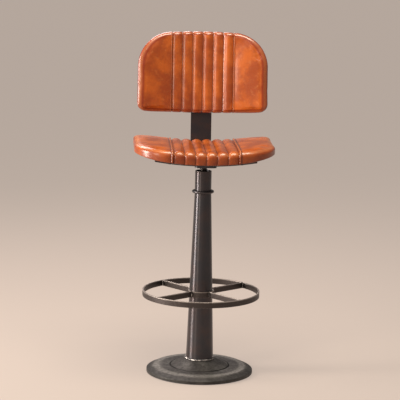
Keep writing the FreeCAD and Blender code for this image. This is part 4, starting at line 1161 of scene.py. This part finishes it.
def stitches(name, paths, surface, spacing, radius, share_of_spacing, material):
    """A row of stitches or staples along each path, laid on a surface."""
    tree = BVHTree.FromObject(surface, bpy.context.evaluated_depsgraph_get())
    points, faces = [], []
    span = share_of_spacing * spacing
    for run in map(Run, paths):
        for number in range(int(run.reach[-1] / spacing)):
            start = (number + (1 - share_of_spacing) / 2) * spacing
            rings = []
            for share, thick, rise in STITCH_PROFILE:
                spot = run.at(start + share * span)
                ahead = run.at(start + share * span + 0.2 * MM)
                found, normal, _, _ = tree.find_nearest(spot)
                across = (ahead - spot).normalized().cross(normal).normalized()
                rings.append(range(len(points), len(points) + STITCH_SIDES))
                points += round_of(found + normal * radius * rise, across, normal,
                                   radius * thick, STITCH_SIDES)
            faces += tube_faces(rings)
    new_piece(name, points, faces, material, "seat")


def sewing(name, paths, surface):
    """Thread stitches along each path."""
    channels = settings().channels
    share_of_spacing = 0.74
    stitches(name, paths, surface, channels.stitch, channels.thread, share_of_spacing,
             "waxed_thread")


def path_of(piece, line):
    """The places of a line of a piece's points."""
    return [piece.data.vertices[index].co.copy() for index in line]


def make_cushion(name, form, replaced, seed):
    """One channelled cushion with its stitches."""
    cover = CushionMesh(form)
    piece = cover.to_piece(name, "tan_leather")
    stuff(piece, cover.held, settings().channels.swell)
    paths = [path_of(piece, line) for line in cover.stitch_lines]
    subdivide(piece)
    pucker(piece, seed)
    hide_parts(*replaced)
    sewing(name + "_stitches", paths, piece)


def smooth_step(value, low, high):
    """Nought below a limit, one above another, and smooth between."""
    share = min(1, max(0, (value - low) / (high - low)))
    return share * share * (3 - 2 * share)


def slack_at(place, size):
    """Unevenness of a slack skin, between minus one and one."""
    return noise.noise(Vector((place.x, place.y, 0)) / size)


def edge_distance(form, place):
    """How far a flat place is inside a cushion's sides and ends."""
    return min(form.half - abs(place.x), place.y, form.sizes.length - place.y)


# Rear panel: distance inside the outline, depth behind the board, seam and ridge.
REAR_PANEL_PROFILE = (
    (14 * MM, 3.9 * MM), (10 * MM, 3.9 * MM, 0.1, 0), (8.4 * MM, 3.3 * MM, 0.5, 0),
    (6.8 * MM, 3.9 * MM, 0.1, 0.3), (5 * MM, 3.4 * MM, 0, 0.6), (4.1 * MM, 2.2 * MM, 0, 0.3),
    (4 * MM, 0.5 * MM, 0.3, 0))
STITCH_RING = 2
# Lining: the same, with a folded hem.
LINING_PROFILE = (
    (16 * MM, 0.7 * MM), (13 * MM, 0.9 * MM, 0, 0), (10 * MM, 1.1 * MM, 0, 0),
    (9.1 * MM, 0.9 * MM, 0, 0), (9 * MM, 0.3 * MM, 0, 0))
STAPLE_RING = 1


def make_rear_panel():
    """The sewn leather panel behind the back, drawn flat where the stem bears on it."""
    form = back_form()
    low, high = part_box("back_stem")
    stem_half = (high.x - low.x) / 2
    stem_reach = high.z - settings().back.place_z
    near, far = 3 * MM, 50 * MM
    slack_depth, slack_change = 2.2, 0.8

    def depth_at(place):
        beside = smooth_step(abs(place.x), stem_half + near, stem_half + far)
        above = smooth_step(place.y, stem_reach + near, stem_reach + far)
        inside = smooth_step(edge_distance(form, place), 12 * MM, 60 * MM)
        slack = slack_depth + slack_change * slack_at(place, 38 * MM)
        return slack * MM * max(beside, above) * inside

    skin = BackingMesh(form, REAR_PANEL_PROFILE, depth_at, closed=True)
    piece = skin.to_piece("rear_panel", "tan_leather")
    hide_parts("back_rear_panel")
    ring = skin.rings[STITCH_RING]
    sewing("rear_panel_stitches", [path_of(piece, ring + ring[:1])], piece)


def make_lining():
    """The lining stapled under the seat, a little slack between the bars."""
    form = seat_form()
    bars = [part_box(node) for node in ("cross_bar_front", "cross_bar_rear")]
    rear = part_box("seat_cover")[1].y
    most_slack = 1.6

    def depth_at(place):
        y = rear - place.y
        clear = smooth_step(min(max(low.y - y, y - high.y) for low, high in bars), 2 * MM, 40 * MM)
        inside = smooth_step(edge_distance(form, place), 14 * MM, 60 * MM)
        slack = 0.5 + 0.5 * slack_at(place, 30 * MM)
        return most_slack * slack * MM * clear * inside

    skin = BackingMesh(form, LINING_PROFILE, depth_at, closed=False)
    piece = skin.to_piece("lining", "lining_cloth")
    around = Run(path_of(piece, skin.rings[0] + skin.rings[0][:1])).reach[-1]
    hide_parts("seat_lining")
    ring = skin.rings[STAPLE_RING]
    spacing, wire_radius, share_of_spacing = 30 * MM, 0.5 * MM, 0.33
    stitches("lining_staples", [path_of(piece, ring + ring[:1])], piece, spacing, wire_radius,
             share_of_spacing, "zinc_plated_steel")


def make_spindle():
    """The screw spindle with its trapezoid thread, right-handed."""
    low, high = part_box("spindle")
    washer_room = 3.65 * MM
    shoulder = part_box("stop_nut")[1].z + washer_room
    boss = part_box("spindle_flange")[0].z
    thread_depth, pitch = 2.8 * MM, 6 * MM
    crest, root, pin = high.x, high.x - thread_depth, 8 * MM
    chamfer = 1 * MM
    sides, steps_per_turn = 40, 10

    def thread(height, turn):
        phase = math.sin(math.tau * (height / pitch) - turn)
        cut = smooth_step(phase, -0.45, 0.45)
        end = min(smooth_step(height, shoulder, shoulder + pitch),
                  smooth_step(-height, -boss - 0.5 * pitch, -boss + 0.5 * pitch))
        return root + (crest - root) * (1 - (1 - cut) * end)

    # Each row has a height, and its radius where it is not part of the thread.
    rows = [(low.z, pin - chamfer), (low.z + chamfer, pin), (shoulder, pin),
            (shoulder, crest - chamfer), (shoulder + chamfer, crest)]
    step = pitch / steps_per_turn
    count = int((boss + 0.5 * pitch - shoulder - 2 * chamfer) / step)
    rows += [(shoulder + chamfer + step * (number + 1), None) for number in range(count)]
    rows += [(high.z - chamfer, crest), (high.z, crest - chamfer)]
    points = []
    for height, plain_radius in rows:
        for side in range(sides):
            turn = math.tau * side / sides
            radius = plain_radius or thread(height, turn)
            points.append((radius * math.cos(turn), radius * math.sin(turn), height))
    rings = [range(start, start + sides) for start in range(0, len(points), sides)]
    faces = [turned_over(face) for face in tube_faces(rings)]
    piece = new_piece("threaded_spindle", points, faces, "turned_steel", "seat")
    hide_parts("spindle")


BEAD_SIDES = 10


def bead(points, path, out, radius, ripple, seed, closed=False):
    """Adds a rippled weld bead along a path whose rings start at out, and gives its faces."""
    plain, rippled, uneven_share = 0.76, 0.24, 0.12
    reach = 0.0
    rings = []
    last = len(path) - 1
    for index, spot in enumerate(path):
        if index:
            reach += (spot - path[index - 1]).length
        if index < last:
            ahead = path[index + 1]
        else:
            ahead = path[0] if closed else spot * 2 - path[index - 1]
        across = (ahead - spot).normalized().cross(out).normalized()
        wave = abs(math.sin(math.pi * reach / ripple + seed))
        uneven = noise.noise(Vector((reach / (7 * MM), seed, 0)))
        end = 1 if closed else math.sin(math.pi * (index + 0.6) / (len(path) + 0.2)) ** 0.4
        size = radius * (plain + rippled * wave + uneven_share * uneven) * end
        rings.append(range(len(points), len(points) + BEAD_SIDES))
        points += round_of(spot, out, across, size, BEAD_SIDES)
    return [turned_over(face) for face in tube_faces(rings, closed)]


def make_welds():
    """The bead round the column's foot, and those where the spokes meet the band and the hoop."""
    low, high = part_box("foot_weld")
    radius = (high.z - low.z) * 0.45
    centre = Vector((0, 0, low.z + radius * 0.75))
    steps, ripple = 540, 5.5 * MM
    path = round_of(centre, Vector((1, 0, 0)), Vector((0, 1, 0)), high.x - radius, steps)
    points = []
    faces = bead(points, path, UPWARD, radius, ripple, 0.4, closed=True)
    piece = new_piece("foot_weld_bead", points, faces, "weld_metal", "stand")
    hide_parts("foot_weld")

    points, faces = [], []
    low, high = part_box("footrest_spoke_1")
    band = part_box("footrest_band")[1].x
    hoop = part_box("footrest_hoop")[1].x - 5 * MM
    half_bar, gap, radius, ripple, steps = 2.5 * MM, 0.3 * MM, 1.9 * MM, 2.4 * MM, 30
    first_turn = math.atan2((low.y + high.y) / 2, (low.x + high.x) / 2)
    for spoke in range(4):
        turn = first_turn + math.pi / 2 * spoke
        out = Vector((math.cos(turn), math.sin(turn), 0))
        aside = Vector((-out.y, out.x, 0))
        for reach, way in ((band + gap, 1), (hoop - gap, -1)):
            for side in (-1, 1):
                foot = out * reach + aside * side * (half_bar + gap)
                path = [foot + UPWARD * (low.z + (high.z - low.z) * (0.06 + 0.88 * step / steps))
                        for step in range(steps + 1)]
                faces += bead(points, path, (out * way + aside * side).normalized(), radius,
                              ripple, spoke + side * 0.3 + way)
    new_piece("spoke_welds", points, faces, "weld_metal", "stand")


def seat_form():
    """The seat's form: its flat coordinates run from its rear edge forward."""
    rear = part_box("seat_cover")[1].y
    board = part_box("seat_board")[0].z
    placement = Matrix.Translation((0, rear, board)) @ Matrix.Rotation(math.pi, 4, "Z")
    return CushionForm(settings().seat, placement)


def back_form():
    """The back's form: its flat coordinates run from its lower edge up."""
    sizes = settings().back
    placement = (Matrix.Translation((0, sizes.place_y, sizes.place_z))
                 @ Matrix.Rotation(math.pi / 2 - sizes.recline, 4, "X"))
    return CushionForm(sizes, placement)


class BARCHAIR_OT_seat_cushion(bpy.types.Operator):
    """Make the channelled leather seat"""
    bl_idname = "barchair.seat_cushion"
    bl_label = "Seat Cushion"

    def execute(self, context):
        make_cushion("seat_cushion", seat_form(), ("seat_cover", "seat_foam"), 1)
        return {"FINISHED"}


class BARCHAIR_OT_back_cushion(bpy.types.Operator):
    """Make the channelled leather back"""
    bl_idname = "barchair.back_cushion"
    bl_label = "Back Cushion"

    def execute(self, context):
        make_cushion("back_cushion", back_form(), ("back_cover", "back_foam"), 2)
        return {"FINISHED"}


class BARCHAIR_OT_castings(bpy.types.Operator):
    """Finish the cast foot, its hub, bolts and rubber ring"""
    bl_idname = "barchair.castings"
    bl_label = "Castings"

    def execute(self, context):
        coat("sand_cast_iron", "base_casting", "base_hub")
        coat("moulded_rubber", "floor_ring")
        coat("zinc_plated_steel", "base_bolts")
        return {"FINISHED"}


class BARCHAIR_OT_steelwork(bpy.types.Operator):
    """Finish the column, the spindle's parts, the bars and the fasteners"""
    bl_idname = "barchair.steelwork"
    bl_label = "Steelwork"

    def execute(self, context):
        coat("blackened_tube", "column", "column_sleeve")
        coat("blackened_steel", "column_ring", "spindle_flange", "cross_bar_front",
             "cross_bar_rear", "back_stem")
        coat("worn_flat_bar", "footrest_band", "footrest_hoop", "footrest_spoke_1",
             "footrest_spoke_2", "footrest_spoke_3", "footrest_spoke_4")
        coat("turned_steel", "stop_nut", "stop_washer")
        coat("turned_bronze", "spindle_nut")
        coat("zinc_plated_steel", "flange_bolts", "flange_nuts", "seat_bolts", "back_bolts",
             "seat_tee_nuts", "back_tee_nuts")
        make_spindle()
        make_welds()
        return {"FINISHED"}


class BARCHAIR_OT_boards(bpy.types.Operator):
    """Finish the plywood boards and make the lining and the leather behind the back"""
    bl_idname = "barchair.boards"
    bl_label = "Boards and Lining"

    def execute(self, context):
        coat("rotary_cut_plywood", "seat_board", "back_board")
        make_lining()
        make_rear_panel()
        return {"FINISHED"}


# Each lamp: its name, width and height, watts, place, what it faces and its colour.
LAMPS = (
    ("window_lamp", (0.7, 2.4), 145, (-3.0, -0.3, 1.3), (0, -0.2, 0.7), "#FFF6EC"),
    ("side_lamp", (0.7, 2.0), 36, (-2.5, -2.4, 1.7), (0, 0, 0.8), "#FFF1DE"),
    ("ceiling_lamp", (1.4, 0.8), 62, (0.1, -0.42, 3.0), (0, 0, 0.7), "#FFF3E2"),
    ("rear_lamp", (1.6, 0.8), 34, (-0.6, 2.2, 2.6), (0, 0, 1.0), "#FFF1EE"),
    ("strip_lamp", (0.25, 1.2), 5, (-0.7, -3.0, 2.9), (0, 0, 0.6), "#FFF4EC"),
)
# The photograph's focal length and width in pixels.
LENS_PIXELS = 1794
PICTURE_PIXELS = 400


class BARCHAIR_OT_stage(bpy.types.Operator):
    """Make the plain floor, the soft studio light and the camera"""
    bl_idname = "barchair.stage"
    bl_label = "Stage"

    def execute(self, context):
        scene = context.scene
        look = settings().stage
        self.make_floor(scene, look)
        self.make_world(scene)
        for lamp in LAMPS:
            self.add_lamp(scene, *lamp)
        self.make_camera(scene, look)
        scene.view_settings.view_transform = "Standard"
        return {"FINISHED"}

    def add_lamp(self, scene, name, size, power, place, target, tint):
        """A large soft lamp."""
        lamp = bpy.data.lights.new(name, "AREA")
        lamp.shape = "RECTANGLE"
        lamp.size, lamp.size_y = size
        lamp.energy = power
        lamp.color = linear(tint)[:3]
        holder = bpy.data.objects.new(name, lamp)
        holder.location = place
        aim = Vector(target) - Vector(place)
        holder.rotation_euler = aim.to_track_quat("-Z", "Y").to_euler()
        scene.collection.objects.link(holder)

    def make_floor(self, scene, look):
        """A wide floor, lifted a little for the eye and for reflections; it keeps its shadows."""
        half, glow_strength = 400.0, 0.66
        mesh = bpy.data.meshes.new("floor")
        mesh.from_pydata([(-half, -half, 0), (half, -half, 0), (half, half, 0), (-half, half, 0)],
                         [], [(0, 1, 2, 3)])
        paper = Finish("matt_paper_floor")
        rays = paper.node("LightPath").outputs
        mirrored_rays = paper.arithmetic("MAXIMUM", rays["Is Glossy Ray"],
                                         rays["Is Transmission Ray"])
        seen = paper.arithmetic("MAXIMUM", rays["Is Camera Ray"], mirrored_rays)
        mesh.materials.append(paper.done(
            Base_Color=look.floor, Roughness=0.9, Specular_IOR_Level=0.1,
            Emission_Color=look.floor_glow,
            Emission_Strength=paper.arithmetic("MULTIPLY", seen, glow_strength)))
        floor = bpy.data.objects.new("floor", mesh)
        scene.collection.objects.link(floor)

    def make_world(self, scene):
        """Even light from all round."""
        world = bpy.data.worlds.new("soft_room")
        world.use_nodes = True
        tree = world.node_tree
        tree.nodes.clear()
        glow = add_node(tree, "Background", inputs={"Color": linear("#E2D9D2"), "Strength": 0.3})
        add_node(tree, "OutputWorld", inputs={"Surface": glow.outputs[0]})
        scene.world = world

    def make_camera(self, scene, look):
        """The camera at the photograph's angle."""
        turn = Matrix.Rotation(-look.swivel, 3, "Z")
        forward = turn @ Vector((math.sin(look.yaw) * math.cos(look.pitch),
                                 math.cos(look.yaw) * math.cos(look.pitch), -math.sin(look.pitch)))
        level = forward.cross(UPWARD).normalized()
        upright = level.cross(forward)
        right = level * math.cos(look.roll) + upright * math.sin(look.roll)
        up = upright * math.cos(look.roll) - level * math.sin(look.roll)
        data = bpy.data.cameras.new("camera")
        data.sensor_width = 36
        data.sensor_fit = "HORIZONTAL"
        data.lens = data.sensor_width * LENS_PIXELS / PICTURE_PIXELS
        data.clip_end = 1000
        camera = bpy.data.objects.new("camera", data)
        rotation = Matrix((right, up, -forward)).transposed().to_4x4()
        spot = turn @ Vector((look.side, -look.distance, look.height))
        camera.matrix_world = Matrix.Translation(spot) @ rotation
        scene.collection.objects.link(camera)
        scene.camera = camera


OPERATORS = (BARCHAIR_OT_stage, BARCHAIR_OT_castings, BARCHAIR_OT_steelwork,
             BARCHAIR_OT_boards, BARCHAIR_OT_seat_cushion, BARCHAIR_OT_back_cushion)


class BARCHAIR_PT_panel(bpy.types.Panel):
    """Lists the chair's pieces"""
    bl_idname = "BARCHAIR_PT_panel"
    bl_label = "Bar Chair"
    bl_space_type = "VIEW_3D"
    bl_region_type = "UI"
    bl_category = "Bar Chair"

    def draw(self, context):
        for operator in OPERATORS:
            self.layout.operator(operator.bl_idname)


CLASSES = (SeatSizes, BackSizes, ChannelSizes, LeatherLook, MetalLook, StageLook,
           BarChairSettings) + OPERATORS + (BARCHAIR_PT_panel,)


def register():
    for item in CLASSES:
        bpy.utils.register_class(item)
    bpy.types.Scene.bar_chair = PointerProperty(type=BarChairSettings)


def unregister():
    del bpy.types.Scene.bar_chair
    for item in reversed(CLASSES):
        bpy.utils.unregister_class(item)


def clear_start_scene():
    """Removes what an empty scene starts with."""
    own = set(frame["nodes"].values()) | set(frame["bodies"].values())
    for item in list(bpy.context.scene.objects):
        if item not in own and not item.name.startswith("body:"):
            bpy.data.objects.remove(item)


def main():
    clear_start_scene()
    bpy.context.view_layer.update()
    register()
    for operator in OPERATORS:
        group, name = operator.bl_idname.split(".")
        getattr(getattr(bpy.ops, group), name)()


if __name__ == "__main__":
    main()
